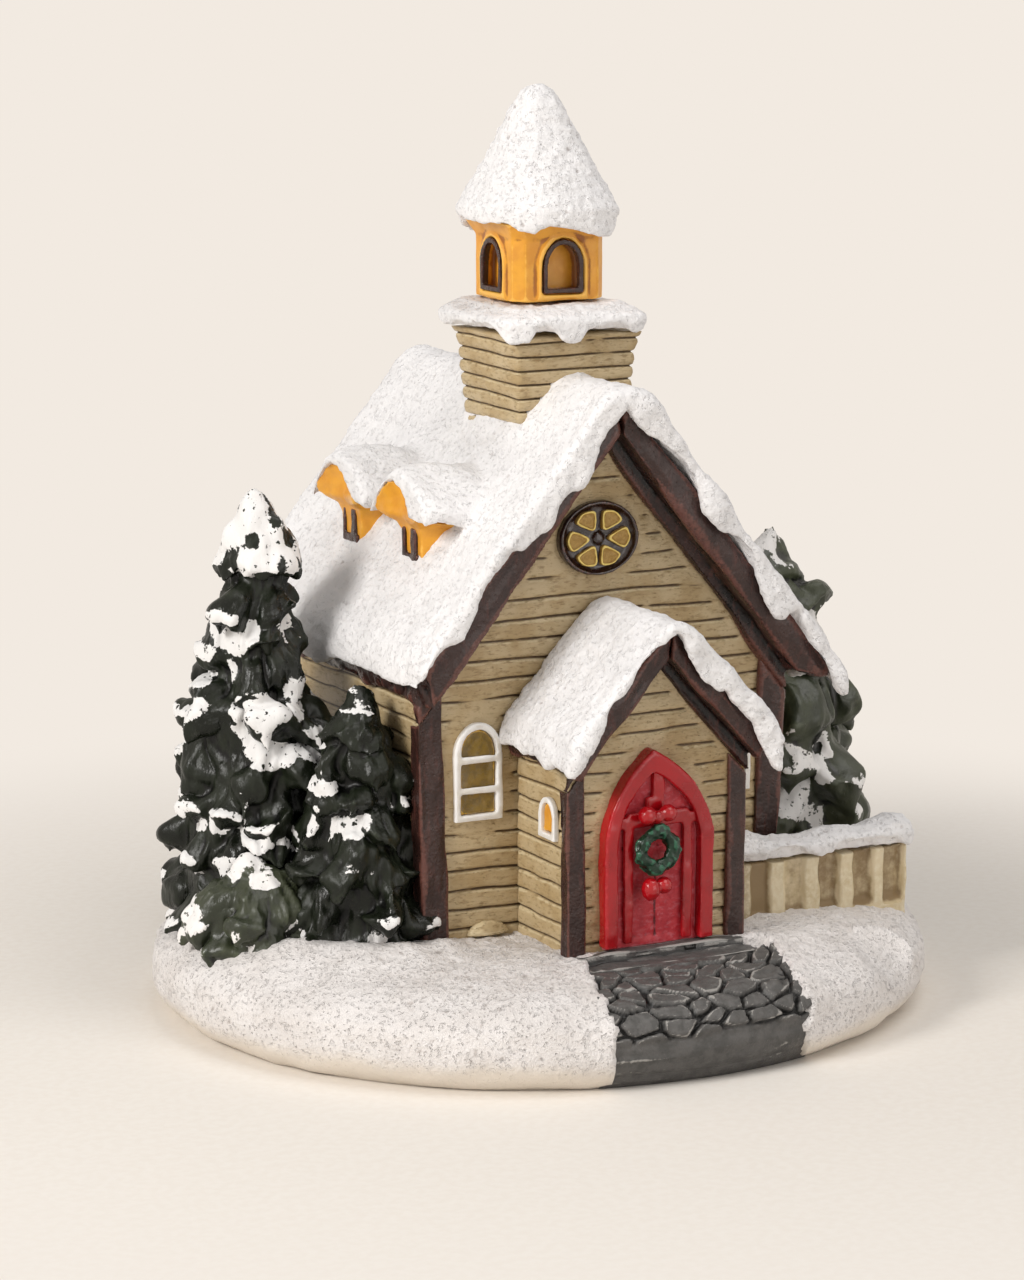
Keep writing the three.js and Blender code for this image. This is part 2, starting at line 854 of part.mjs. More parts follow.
// A corner post: a board on the end wall and a return on the side wall. end is -1 at the front.
function cornerPost(block, size, roof, side, end, endY) {
  const topAt = (x) => gableZ(block, x) + glueGap - roof.rakeWidth - 0.2;
  const inner = (z) => wallHalf(block, z) - size.width + size.proud;
  const outer = (z) => wallHalf(block, z) + size.proud;
  const footZ = socketFloor;
  const topZ = gableZ(block, block.eaveHalfWidth) - roof.rakeWidth;
  const face = polygon([
    [side * inner(footZ), footZ],
    [side * outer(footZ), footZ],
    [side * outer(topZ), topAt(outer(topZ))],
    [side * inner(topZ), topAt(inner(topZ))],
  ]);
  const back = polygon([
    [side * (wallHalf(block, footZ) + 0.02), footZ],
    [side * outer(footZ), footZ],
    [side * outer(topZ), topAt(outer(topZ))],
    [side * (wallHalf(block, topZ) + 0.02), topAt(outer(topZ))],
  ]);
  const faceY = endY + end * size.proud;
  const wrapY = endY - end * size.wrap;
  const board = frontPrism(face, Math.min(endY, faceY), Math.max(endY, faceY));
  const wrap = frontPrism(back, Math.min(wrapY, faceY), Math.max(wrapY, faceY));
  return slid(join(board, wrap), centreX);
}

const sides = [
  ["left", -1],
  ["right", 1],
];
for (const [name, side] of sides) {
  place(`corner_post_front_${name}`, cornerPost(house, post, mainRoof, side, -1, house.frontY), "timber");
  place(`corner_post_rear_${name}`, cornerPost(house, post, mainRoof, side, 1, houseBackY), "timber");
  place(`porch_post_${name}`, cornerPost(porch, porchPost, porchRoof, side, -1, porch.frontY), "timber");
  const rakes = [
    [house.frontY - mainRoof.rakeDepth, house.frontY],
    [houseBackY, houseBackY + mainRoof.rakeDepth],
  ];
  const deck = roofDeck(house, mainRoof, side, deckFrontY, deckBackY, rakes);
  place(`roof_deck_${name}`, slid(deck, centreX), "timber");
  const porchRakes = [[porch.frontY - porchRoof.rakeDepth, porch.frontY]];
  const porchDeck = roofDeck(porch, porchRoof, side, porchDeckFrontY, house.frontY - glueGap, porchRakes);
  place(`porch_deck_${name}`, slid(porchDeck, centreX), "timber");
}

const mainSnow = snowBlanket(house, mainRoof, snowFrontY, snowBackY, [
  [snowFrontY, deckFrontY - glueGap],
  [deckBackY + glueGap, snowBackY],
]);
place("roof_snow", slid(mainSnow, centreX), "snow");
const porchSnow = snowBlanket(porch, porchRoof, porchSnowFrontY, house.frontY - glueGap, [
  [porchSnowFrontY, porchDeckFrontY - glueGap],
]);
const windowSpace = box(
  archWindow.leftX - archWindow.halfWidth - glueGap,
  archWindow.leftX + archWindow.halfWidth + glueGap,
  house.frontY - archWindow.frameDepth - glueGap,
  house.frontY,
  archWindow.sillZ,
  archWindow.sillZ + archWindow.height + glueGap,
);
place("porch_roof_snow", slid(porchSnow, centreX).subtract(windowSpace), "snow");

// Door surround, leaf with planks, glazing bars.
const doorSill = steps.topZ + glueGap;
const doorFrontY = porch.frontY - door.surroundDepth;
const innerHalf = door.halfWidth - door.surroundWidth;
const innerApex = door.apexZ - door.surroundWidth * 1.5;
const surroundOuter = pointedArch(door.halfWidth, doorSill, door.springZ, door.apexZ, door.apexShift);
const surroundInner = pointedArch(innerHalf, doorSill - 1, door.springZ - 0.4, innerApex, door.apexShift);
const leafShape = pointedArch(
  innerHalf - glueGap,
  doorSill,
  door.springZ - 0.5,
  innerApex - glueGap * 1.5,
  door.apexShift,
);
const leafFrontY = porch.frontY - door.leafDepth;
place(
  "door_surround",
  slid(
    frontPrism(surroundOuter, doorFrontY, porch.frontY).subtract(
      frontPrism(surroundInner, doorFrontY - 1, porch.frontY + 1),
    ),
    doorX,
  ),
  "red",
);
const plankGroove = (x) => box(x - 0.2, x + 0.2, leafFrontY - 1, leafFrontY + 0.3, doorSill - 1, wreath.z - 3);
place(
  "door_leaf",
  slid(frontPrism(leafShape, leafFrontY, porch.frontY).subtract(plankGroove(0)), doorX),
  "leafRed",
);
const barShape = (halfWidth, zLow, zHigh) => frontPrism(
  polygon([
    [-halfWidth, zLow],
    [halfWidth, zLow],
    [halfWidth, zHigh],
    [-halfWidth, zHigh],
  ]),
  leafFrontY - door.barDepth,
  leafFrontY - 0.02,
);
const stile = (side) => {
  const near = side * (innerHalf - door.stileInset);
  const far = near - side * door.barWidth * 0.8;
  return box(
    Math.min(near, far),
    Math.max(near, far),
    leafFrontY - door.barDepth,
    leafFrontY - 0.02,
    doorSill + glueGap,
    door.barZ,
  );
};
const barSpan = innerHalf - door.stileInset * 1.5;
place(
  "door_glazing_bars",
  slid(
    join(
      barShape(barSpan, door.barZ - door.barWidth / 2, door.barZ + door.barWidth / 2),
      slid(barShape(door.barWidth / 2, door.barZ, innerApex - door.headGap), door.apexShift),
      stile(-1),
      stile(1),
    ),
    doorX,
  ),
  "red",
);

// Wreath with a bow on top and ribbon tails below.
const wreathX = doorX + door.apexShift;
const wreathBackY = leafFrontY - door.barDepth - glueGap;
const ring = new THREE.TorusGeometry(wreath.ringRadius, wreath.tubeRadius, 8, 18);
ring.rotateX(Math.PI / 2);
ring.translate(wreathX, wreathBackY - wreath.tubeRadius, wreath.z);
place("door_wreath", solid(ring), "green");
const berry = (x, z, radius, tall = 1) => {
  const ball = new THREE.SphereGeometry(radius, 10, 7);
  ball.scale(1, 1, tall);
  ball.translate(wreathX + x, wreathBackY - wreath.tubeRadius, z);
  return solid(ball);
};
const bowZ = wreath.z + wreath.ringRadius + wreath.tubeRadius + wreath.berryRadius + glueGap * 0.6;
const ribbonX = wreath.berryRadius * 1.25;
place(
  "wreath_bow",
  join(
    berry(-ribbonX, bowZ, wreath.berryRadius),
    berry(ribbonX, bowZ, wreath.berryRadius),
    berry(0, bowZ - 0.3, wreath.berryRadius * 0.7),
  ),
  "red",
);
const tailZ = wreath.z - wreath.ringRadius - wreath.tubeRadius - wreath.berryRadius - glueGap;
place(
  "wreath_ribbon_tails",
  join(
    berry(-wreath.berryRadius * 0.78, tailZ - 0.3, wreath.berryRadius, 1.25),
    berry(wreath.berryRadius * 0.78, tailZ, wreath.berryRadius * 0.95),
  ),
  "red",
);

// Framed windows in the front wall.
function archedWindow(name, x) {
  const sill = archWindow.sillZ;
  const top = sill + archWindow.height;
  const inset = archWindow.frameWidth;
  const outer = roundArch(archWindow.halfWidth, sill, top);
  const hole = roundArch(archWindow.halfWidth - inset, sill + inset, top - inset);
  const pane = roundArch(archWindow.halfWidth - inset - 0.1, sill + inset + 0.1, top - inset - 0.1);
  const frontY = house.frontY - archWindow.frameDepth;
  const frame = frontPrism(outer, frontY, house.frontY).subtract(frontPrism(hole, frontY - 1, house.frontY + 1));
  const bars = [1, 2].map((i) => {
    const z = sill + (i * archWindow.height * 0.94) / 3;
    const half = archWindow.halfWidth - inset / 2;
    return box(-half, half, frontY, frontY + archWindow.frameDepth * 0.45, z - inset / 2, z + inset / 2);
  });
  const glass = frontPrism(pane, house.frontY - archWindow.paneDepth, house.frontY);
  place(`window_frame_${name}`, slid(join(frame, ...bars), x), "white");
  place(`window_panes_${name}`, slid(glass, x), "pane");
}
archedWindow("left", archWindow.leftX);
archedWindow("right", archWindow.rightX);

// Little windows in the porch's side walls, flat against the leaning wall.
for (const [name, side] of sides) {
  const sill = sideWindow.sillZ;
  const top = sill + sideWindow.height;
  const inset = sideWindow.frameWidth;
  const wallX = centreX + side * (wallHalf(porch, top) + 0.02);
  const outX = wallX + side * sideWindow.frameDepth;
  const paneX = wallX + side * sideWindow.paneDepth;
  const outer = roundArch(sideWindow.halfWidth, sill, top);
  const hole = roundArch(sideWindow.halfWidth - inset, sill + inset, top - inset);
  const pane = roundArch(sideWindow.halfWidth - inset - 0.1, sill + inset + 0.1, top - inset - 0.1);
  const span = (a, b) => [Math.min(a, b), Math.max(a, b)];
  const frame = sidePrism(outer, ...span(wallX, outX)).subtract(sidePrism(hole, ...span(wallX - 1, outX + 1)));
  place(`porch_window_frame_${name}`, slid(frame, 0, sideWindow.y), "white");
  place(`porch_window_pane_${name}`, slid(sidePrism(pane, ...span(wallX, paneX)), 0, sideWindow.y), "pane");
}

// Round window: rim and spokes in one, gilded disc behind them.
function ellipse(halfWidth, halfHeight) {
  const shape = new THREE.Shape();
  shape.absellipse(0, 0, halfWidth, halfHeight, 0, 2 * Math.PI, false, 0);
  return shape;
}
const rosetteFrontY = house.frontY - rosette.depth;
const spokeFrontY = house.frontY - rosette.depth * 0.8;
const openWidth = rosette.halfWidth - rosette.rim;
const openHeight = rosette.halfHeight - rosette.rim;
const rim = frontPrism(ellipse(rosette.halfWidth, rosette.halfHeight), rosetteFrontY, house.frontY, 14).subtract(
  frontPrism(ellipse(openWidth, openHeight), rosetteFrontY - 1, house.frontY + 1, 12),
);
const spokes = [0, 1, 2].map((i) => {
  const reach = openWidth + rosette.rim / 2;
  const half = rosette.spoke / 2;
  const backY = house.frontY - rosette.paneDepth - 0.05;
  const bar = box(-reach, reach, spokeFrontY, backY, -half, half);
  const turned = bar.rotate([0, 90 + i * 60, 0]);
  return turned.intersect(
    frontPrism(ellipse(rosette.halfWidth - 0.3, rosette.halfHeight - 0.3), spokeFrontY - 1, backY, 12),
  );
});
const hub = frontPrism(
  ellipse(rosette.hub, rosette.hub),
  spokeFrontY,
  house.frontY - rosette.paneDepth - 0.05,
  5,
);
place("rosette_frame", slid(join(rim, hub, ...spokes), rosette.x, 0, rosette.z), "timber");
place(
  "rosette_panes",
  slid(
    frontPrism(ellipse(openWidth - 0.1, openHeight - 0.1), house.frontY - rosette.paneDepth, house.frontY, 10),
    rosette.x,
    0,
    rosette.z,
  ),
  "gilt",
);

// Tower block standing astride the ridge, cut to the snow's slopes.
const slopeReach = mainRoof.rightEnd;
const overSnow = (x) => mainSnowZ(x) + glueGap;
const ridgeCut = new THREE.Shape();
ridgeCut.moveTo(-slopeReach, 0);
ridgeCut.lineTo(slopeReach, 0);
ridgeCut.lineTo(slopeReach, overSnow(slopeReach));
ridgeCut.lineTo(mainRoof.ridgeRound, overSnow(mainRoof.ridgeRound));
ridgeCut.quadraticCurveTo(0, overSnow(0), -mainRoof.ridgeRound, overSnow(mainRoof.ridgeRound));
ridgeCut.lineTo(-slopeReach, overSnow(slopeReach));
const towerX = centreX + tower.offsetX;
const towerShaft = flaredBlock(towerX, tower.y, tower.cornerCut, [
  [tower.footZ, tower.footHalf],
  [tower.topZ - tower.corniceHeight, tower.topHalf],
  [tower.topZ, tower.corniceHalf],
]);
const slopeCut = frontPrism(ridgeCut, -house.depth, house.depth, 4);
place("tower_walls", towerShaft.subtract(slid(slopeCut, centreX)), "siding");

// Ledge of snow on the tower, with icicle lobes round its edge.
function roundedSquare(half, round) {
  const shape = new THREE.Shape();
  shape.moveTo(-half + round, -half);
  shape.lineTo(half - round, -half);
  shape.quadraticCurveTo(half, -half, half, -half + round);
  shape.lineTo(half, half - round);
  shape.quadraticCurveTo(half, half, half - round, half);
  shape.lineTo(-half + round, half);
  shape.quadraticCurveTo(-half, half, -half, half - round);
  shape.lineTo(-half, -half + round);
  shape.quadraticCurveTo(-half, -half, -half + round, -half);
  return shape;
}
const ledgeFootZ = tower.topZ + glueGap;
const ledgeTopZ = ledgeFootZ + ledge.height;
const ledgeX = centreX + ledge.offsetX;
const ledgeSlab = slid(
  planPrism(roundedSquare(ledge.half, ledge.cornerRound), ledgeFootZ, ledgeTopZ, 4),
  ledgeX,
  tower.y,
);
const skirtEnd = ledge.half - 0.1;
const skirtStations = 18;
// One side's icicles: lobes at a pitch, shifted along the side.
function skirt(turn, shift, pitch = ledge.dripPitch) {
  const shape = new THREE.Shape();
  shape.moveTo(-skirtEnd, ledgeFootZ + 1);
  shape.lineTo(skirtEnd, ledgeFootZ + 1);
  for (let i = 0; i <= skirtStations; i += 1) {
    const along = THREE.MathUtils.lerp(skirtEnd, -skirtEnd, i / skirtStations);
    const place = (along + shift) / pitch;
    const lobe = Math.pow(Math.abs(Math.cos(Math.PI * place)), 1.6);
    shape.lineTo(along, ledgeFootZ - THREE.MathUtils.lerp(ledge.dripShort, ledge.dripLong, lobe));
  }
  const made = frontPrism(shape, -ledge.half + 0.05, -ledge.half + 1.5);
  return slid(made.rotate([0, 0, turn]), ledgeX, tower.y);
}
const corniceSpace = flaredBlock(towerX, tower.y, tower.cornerCut, [
  [tower.footZ, tower.footHalf + glueGap * 1.3],
  [tower.topZ - tower.corniceHeight, tower.topHalf + glueGap * 1.3],
  [ledgeFootZ, tower.corniceHalf + glueGap * 1.3],
]);
place(
  "tower_snow_ledge",
  join(
    ledgeSlab,
    skirt(0, ledge.dripShift),
    skirt(90, -ledge.dripShift),
    skirt(180, ledge.dripShift),
    skirt(270, -ledge.half, ledge.half * 2.4),
  ).subtract(corniceSpace),
  "snow",
);

// Belfry with an arched niche and surround on each face.
const belfryX = centreX + belfry.offsetX;
const belfryFootZ = ledgeTopZ + glueGap;
const belfryTopZ = belfryFootZ + belfry.height;
const windowSillZ = belfryFootZ + belfry.windowSill;
const windowTopZ = windowSillZ + belfry.windowHeight;
const facing = [
  ["front", 0],
  ["right", 90],
  ["rear", 180],
  ["left", 270],
];
const onFace = (made, turn) => slid(made.rotate([0, 0, turn]), belfryX, tower.y);
const surround = belfry.surroundWidth;
const nicheArch = roundArch(belfry.windowHalfWidth, windowSillZ, windowTopZ);
const surroundArch = roundArch(
  belfry.windowHalfWidth + surround,
  windowSillZ - surround,
  windowTopZ + surround,
);
const faceY = -belfry.half;
let belfryBody = join(
  flaredBlock(belfryX, tower.y, belfry.cornerCut, [
    [belfryFootZ, belfry.half],
    [belfryTopZ - belfry.corniceHeight, belfry.half],
    [belfryTopZ, belfry.corniceHalf],
  ]),
  ...facing.map(([, turn]) =>
    onFace(frontPrism(surroundArch, faceY - belfry.surroundDepth, faceY + 1, 5), turn),
  ),
);
for (const [, turn] of facing) {
  const cut = frontPrism(nicheArch, faceY - 3, faceY + belfry.nicheDepth, 5);
  belfryBody = belfryBody.subtract(onFace(cut, turn));
}
place("belfry", belfryBody, "gilt");
const frameEdge = 0.08;
const frameOuter = roundArch(
  belfry.windowHalfWidth - frameEdge,
  windowSillZ + frameEdge,
  windowTopZ - frameEdge,
);
const frameInner = roundArch(
  belfry.windowHalfWidth - belfry.frameWidth,
  windowSillZ + belfry.frameWidth,
  windowTopZ - belfry.frameWidth,
);
for (const [name, turn] of facing) {
  const nearY = faceY - belfry.surroundDepth - 0.1;
  const frame = frontPrism(frameOuter, nearY, nearY + belfry.frameDepth + 0.3, 5);
  const opening = frontPrism(frameInner, nearY - 1, nearY + 3, 5);
  place(`belfry_window_frame_${name}`, onFace(frame.subtract(opening), turn), "timber");
}

// Spire of snow: a rounded pyramid with a drooping, wavy rim.
function spireSolid() {
  const footZ = belfryTopZ + glueGap;
  const spireX = centreX + spire.offsetX;
  const count = 32;
  const square = (turn) => {
    const power = (value) => Math.pow(Math.abs(value), spire.squareness);
    return Math.pow(power(Math.cos(turn)) + power(Math.sin(turn)), -1 / spire.squareness);
  };
  const wave = (turn) => spire.waveDepth * Math.sin(spire.waves * turn + 0.6);
  const ringAt = (share, z, waviness) => {
    const points = [];
    for (let side = 0; side < count; side += 1) {
      const turn = (2 * Math.PI * side) / count;
      const away = spire.half * share * THREE.MathUtils.lerp(1, square(turn), Math.min(1, share * 1.4));
      points.push([
        spireX + away * Math.cos(turn),
        tower.y + away * Math.sin(turn),
        z + waviness * wave(turn),
      ]);
    }
    return points;
  };
  const inner = (spire.half - spire.lipThickness) / spire.half;
  const at = (share) => footZ + spire.height * share;
  const rings = [
    ringAt(inner * 0.97, footZ, 0),
    ringAt(inner, footZ - spire.lipDrop * 0.9, 0.6),
    ringAt(0.99, footZ - spire.lipDrop * 0.8, 1),
    ringAt(1.01, at(0.03), 0.7),
    ringAt(0.94, at(0.14), 0.4),
    ringAt(0.77, at(0.35), 0.2),
    ringAt(0.58, at(0.58), 0),
    ringAt(0.42, at(0.78), 0),
    ringAt(0.29, at(0.91), 0),
    ringAt(0.15, at(0.98), 0),
  ];
  return ringedSolid(rings, [spireX, tower.y, footZ], [spireX, tower.y, footZ + spire.height]);
}
const belfryHead = flaredBlock(belfryX, tower.y, belfry.cornerCut, [
  [belfryTopZ - belfry.corniceHeight * 1.5, belfry.half],
  [belfryTopZ - belfry.corniceHeight, belfry.half + glueGap * 1.2],
  [belfryTopZ + glueGap * 0.9, belfry.corniceHalf + glueGap * 1.4],
]);
place("spire_snow", spireSolid().subtract(belfryHead), "snow");

// Dormers, drawn facing right and mirrored onto the left slope.
function dormerParts() {
  const funnel = new THREE.Shape();
  const throat = dormer.throatHalfWidth;
  const wing = dormer.wingHalfWidth;
  const wingTopZ = dormer.apexZ - (dormer.capDrop * wing) / dormer.capHalfWidth;
  funnel.moveTo(-throat, dormer.footZ);
  funnel.lineTo(throat, dormer.footZ);
  funnel.lineTo(throat, dormer.throatZ);
  funnel.quadraticCurveTo(throat * 1.2, dormer.wingZ, wing, dormer.wingZ);
  funnel.lineTo(wing, wingTopZ);
  funnel.lineTo(0, dormer.apexZ);
  funnel.lineTo(-wing, wingTopZ);
  funnel.lineTo(-wing, dormer.wingZ);
  funnel.quadraticCurveTo(-throat * 1.2, dormer.wingZ, -throat, dormer.throatZ);
  const body = sidePrism(funnel, 0, dormer.faceX, 4);
  const capFoot = dormer.apexZ + glueGap;
  const capShape = new THREE.Shape();
  const capEdge = dormer.capHalfWidth;
  const edgeZ = capFoot - dormer.capDrop;
  const shoulderZ = capFoot - dormer.capDrop * 0.5 + dormer.capHeight * 0.62;
  const topZ = capFoot + dormer.capHeight;
  capShape.moveTo(-capEdge, edgeZ);
  capShape.lineTo(0, capFoot);
  capShape.lineTo(capEdge, edgeZ);
  capShape.quadraticCurveTo(capEdge * 1.12, edgeZ + dormer.capHeight * 0.7, capEdge * 0.7, shoulderZ);
  capShape.quadraticCurveTo(capEdge * 0.3, topZ, 0, topZ);
  capShape.quadraticCurveTo(-capEdge * 0.3, topZ, -capEdge * 0.7, shoulderZ);
  capShape.quadraticCurveTo(-capEdge * 1.12, edgeZ + dormer.capHeight * 0.7, -capEdge, edgeZ);
  const cap = sidePrism(capShape, 0, dormer.faceX + dormer.capOverhang, 4);
  const sill = mainSnowZ(dormer.faceX) + glueGap + dormer.windowLift;
  const half = dormer.windowHalfWidth;
  const edge = dormer.frameWidth;
  const sash = 0.35;
  const easing = 0.1;
  const head = sill + dormer.windowHeight;
  const faceX = dormer.faceX;
  const outer = roundArch(half, sill, head);
  const niche = roundArch(half + easing, sill - easing, head + easing);
  const light = box(faceX - 1, faceX + 2, edge / 2, half - edge, sill + edge, head - edge * 3);
  const frame = sidePrism(outer, faceX - sash, faceX + dormer.frameDepth, 4)
    .subtract(light)
    .subtract(light.mirror([0, 1, 0]));
  return { body: body.subtract(sidePrism(niche, faceX - sash - easing, faceX + 1, 4)), cap, frame };
}
const dormerPieces = dormerParts();
for (const [placeName, y] of [
  ["near", dormer.nearY],
  ["far", dormer.farY],
]) {
  const set = (made) => slid(slid(made.mirror([1, 0, 0]), 0, y).subtract(slopeCut), centreX);
  place(`dormer_${placeName}`, set(dormerPieces.body), "gilt");
  place(`dormer_snow_${placeName}`, set(dormerPieces.cap), "snow");
  place(`dormer_window_${placeName}`, set(dormerPieces.frame), "timber");
}

// Trees, cut to the ground, the church and each other.
const church = churchSpace();
const ground = moundSolid(glueGap);
const fenceBlock = fenceSpace.add(
  box(
    fence.leftX - fence.capOverhang - glueGap,
    fence.rightX + fence.capOverhang + glueGap,
    fence.frontY - fence.capOverhang - glueGap,
    fence.frontY + fence.thickness + fence.capOverhang + glueGap,
    fence.topZ - fence.dripLong - glueGap,
    fence.topZ + fence.capHeight + glueGap * 2,
  ),
);
const grown = [];
for (const [name, tree] of trees) {
  let made = conifer(tree).subtract(ground).subtract(church).subtract(fenceBlock);
  for (const other of grown) {
    made = made.subtract(treeSpace(other));
  }
  const bodies = made.decompose().sort((a, b) => b.volume() - a.volume());
  place(name, bodies[0], "green");
  grown.push(tree);
}

// Garden wall: recessed panels between balusters, with a foot rail and a top rail.
let wall = box(
  fence.leftX,
  fence.rightX,
  fence.frontY,
  fence.frontY + fence.thickness,
  fence.footZ,
  fence.topZ,
);
const panelLow = mound.height + fence.railHeight * 0.4;
const panelHigh = fence.topZ - fence.railHeight;
const panelWidth = fence.pitch - fence.balusterWidth;
const firstPanel = fence.leftX + fence.balusterWidth * 1.6;
for (let x = firstPanel; x + panelWidth < fence.rightX - 0.8; x += fence.pitch) {
  for (const y of [fence.frontY, fence.frontY + fence.thickness]) {
    wall = wall.subtract(
      box(x, x + panelWidth, y - fence.panelInset, y + fence.panelInset, panelLow, panelHigh),
    );
  }
}
place("garden_wall", wall, "stone");
const capFootZ = fence.topZ + glueGap;
const capLeft = fence.leftX - glueGap * 0.5;
const capRight = fence.rightX + fence.capOverhang;
const capFrontY = fence.frontY - fence.capOverhang;
const capBackY = fence.frontY + fence.thickness + fence.capOverhang;
const capLip = fence.capOverhang - glueGap;
const capTopAt = (x) => {
  const share = (x - capLeft) / (capRight - capLeft);
  return capFootZ + fence.capHeight * (0.72 + 0.28 * Math.sin(share * 9 + 1.2)) * (0.85 + 0.3 * share);
};
const capSection = new THREE.Shape();
const capStations = 20;
capSection.moveTo(capLeft, capFootZ);
capSection.lineTo(capRight, capFootZ);
for (let i = 0; i <= capStations; i += 1) {
  const x = THREE.MathUtils.lerp(capRight, capLeft, i / capStations);
  const endRound = Math.min(1, Math.sqrt(Math.max(0.05, (capRight - x) / 2.2)));
  capSection.lineTo(x, THREE.MathUtils.lerp(capFootZ + 0.6, capTopAt(x), endRound));
}
const lipSection = new THREE.Shape();
lipSection.moveTo(capLeft, capFootZ + 0.5);
lipSection.lineTo(capRight, capFootZ + 0.5);
for (let i = 0; i <= capStations + 8; i += 1) {
  const x = THREE.MathUtils.lerp(capRight, capLeft, i / (capStations + 8));
  lipSection.lineTo(x, capFootZ - dripAt(x, fence));
}
place(
  "garden_wall_snow",
  join(
    frontPrism(capSection, capFrontY, capBackY),
    frontPrism(lipSection, capFrontY, capFrontY + capLip),
    frontPrism(lipSection, capBackY - capLip, capBackY),
    box(capRight - capLip, capRight, capFrontY, capBackY, capFootZ - fence.dripLong * 0.6, capFootZ + 0.5),
  ),
  "snow",
);

// Rounded stone at the foot of the front wall.
const stoneBall = new THREE.SphereGeometry(1, 14, 8);
stoneBall.scale(footStone.halfWidth, footStone.depth, footStone.height);
stoneBall.translate(footStone.x, house.frontY - glueGap, mound.height);
const stoneCut = box(
  footStone.x - footStone.halfWidth,
  footStone.x + footStone.halfWidth,
  house.frontY - 0.02,
  house.frontY + footStone.depth,
  0,
  mound.height + footStone.height,
);
place("wall_foot_stone", solid(stoneBall).subtract(ground).subtract(stoneCut), "stone");

export default root;
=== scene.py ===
import math

import bpy
import numpy as np
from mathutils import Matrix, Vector


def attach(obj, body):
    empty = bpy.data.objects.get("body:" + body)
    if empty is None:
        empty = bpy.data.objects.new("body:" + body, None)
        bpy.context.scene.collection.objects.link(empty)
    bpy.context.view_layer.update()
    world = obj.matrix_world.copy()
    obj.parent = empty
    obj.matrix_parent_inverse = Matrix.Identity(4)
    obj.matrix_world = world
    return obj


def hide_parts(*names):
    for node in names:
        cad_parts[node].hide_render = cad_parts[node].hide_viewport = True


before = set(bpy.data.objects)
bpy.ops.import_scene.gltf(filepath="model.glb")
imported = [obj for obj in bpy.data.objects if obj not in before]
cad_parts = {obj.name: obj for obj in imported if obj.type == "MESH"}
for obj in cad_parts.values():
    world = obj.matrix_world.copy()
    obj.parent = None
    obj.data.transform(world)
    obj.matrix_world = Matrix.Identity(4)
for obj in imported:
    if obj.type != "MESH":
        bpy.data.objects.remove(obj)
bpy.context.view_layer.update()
mm = 0.001
print("frame loaded")


# numbers and noise
def ease(low, high, x):  # 0 below low, 1 above high, smooth between
    t = np.clip((x - low) / (high - low), 0, 1)
    return t * t * (3 - 2 * t)


def ridge(middle, width, x):  # 1 at the middle, fading to both sides
    return np.exp(-(((x - middle) / width) ** 2))


def chance(ix, iy, iz, seed):  # a repeatable 0..1 for each lattice point
    n = ix * 374761393 + iy * 668265263 + iz * 1440662683 + seed * 1274126177
    n = (n ^ (n >> 13)) * 1103515245
    n = (n ^ (n >> 17)) * 668265263
    return ((n ^ (n >> 15)) & 0xFFFFFF) / 16777215.0


def scatter(seed):  # a repeatable value between -1 and 1
    value = math.sin(seed * 12.9898) * 43758.5453
    return 2 * (value - math.floor(value)) - 1


def drift(points, size, seed=1):  # smooth noise from -1 to 1, size in mm
    q = points / size + seed * 17.31
    cell = np.floor(q).astype(np.int64)
    f = q - cell
    f = f * f * (3 - 2 * f)
    total = np.zeros(len(q))
    for corner in range(8):
        step = (corner & 1, corner >> 1 & 1, corner >> 2 & 1)
        share = np.ones(len(q))
        for axis in range(3):
            share = share * (f[:, axis] if step[axis] else 1 - f[:, axis])
        total += share * chance(*(cell[:, axis] + step[axis] for axis in range(3)), seed)
    return total * 2 - 1


def seeds(points, size, seed, spread=0.9):  # distance to the nearest two seeds, and the nearest one's number
    q = points / size
    cell = np.floor(q).astype(np.int64)
    first = np.full(len(q), 9.0)
    second = np.full(len(q), 9.0)
    number = np.zeros(len(q))
    flat = np.ptp(points[:, 2]) == 0
    steps = (-1, 0, 1)
    for step in [(x, y, z) for x in steps for y in steps for z in ((0,) if flat else steps)]:
        at = cell + np.array(step)
        lattice = (at[:, 0], at[:, 1], at[:, 2])
        spot = np.stack([chance(*lattice, seed + k) for k in range(3)], 1)
        gap = at + 0.5 + (spot - 0.5) * spread - q
        if flat:
            gap[:, 2] = 0
        away = np.sqrt((gap * gap).sum(1))
        nearer = away < first
        second = np.where(nearer, first, np.minimum(second, away))
        number = np.where(nearer, chance(*lattice, seed + 9), number)
        first = np.where(nearer, away, first)
    return first * size, second * size, number


def knotValue(x, knots):  # the value on a line through (x, value) knots
    return np.interp(x, *zip(*knots))


# meshes, worked in millimetres
def cadShape(*names):
    shapes = []
    for name in names:
        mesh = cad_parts[name].data
        points = np.zeros(len(mesh.vertices) * 3)
        mesh.vertices.foreach_get("co", points)
        shapes.append((points.reshape(-1, 3) / mm, [list(p.vertices) for p in mesh.polygons]))
    return shapes


def boxShape(x, y, z):
    points = np.array([[x[i], y[j], z[k]] for k in (0, 1) for j in (0, 1) for i in (0, 1)], float)
    return points, [[0, 2, 3, 1], [4, 5, 7, 6], [0, 1, 5, 4], [2, 6, 7, 3], [0, 4, 6, 2], [1, 3, 7, 5]]


def ringQuads(rows, columns, closed=True):
    j, i = np.meshgrid(np.arange(rows - 1), np.arange(columns if closed else columns - 1), indexing="ij")
    here, ahead = j * columns, (i + 1) % columns
    return np.stack([here + i, here + ahead, here + columns + ahead, here + columns + i], -1).reshape(-1, 4)


def tubeFaces(rows, columns):  # rings of points, closed at both ends
    ends = [list(range(columns))[::-1], [(rows - 1) * columns + k for k in range(columns)]]
    return ringQuads(rows, columns).tolist() + ends


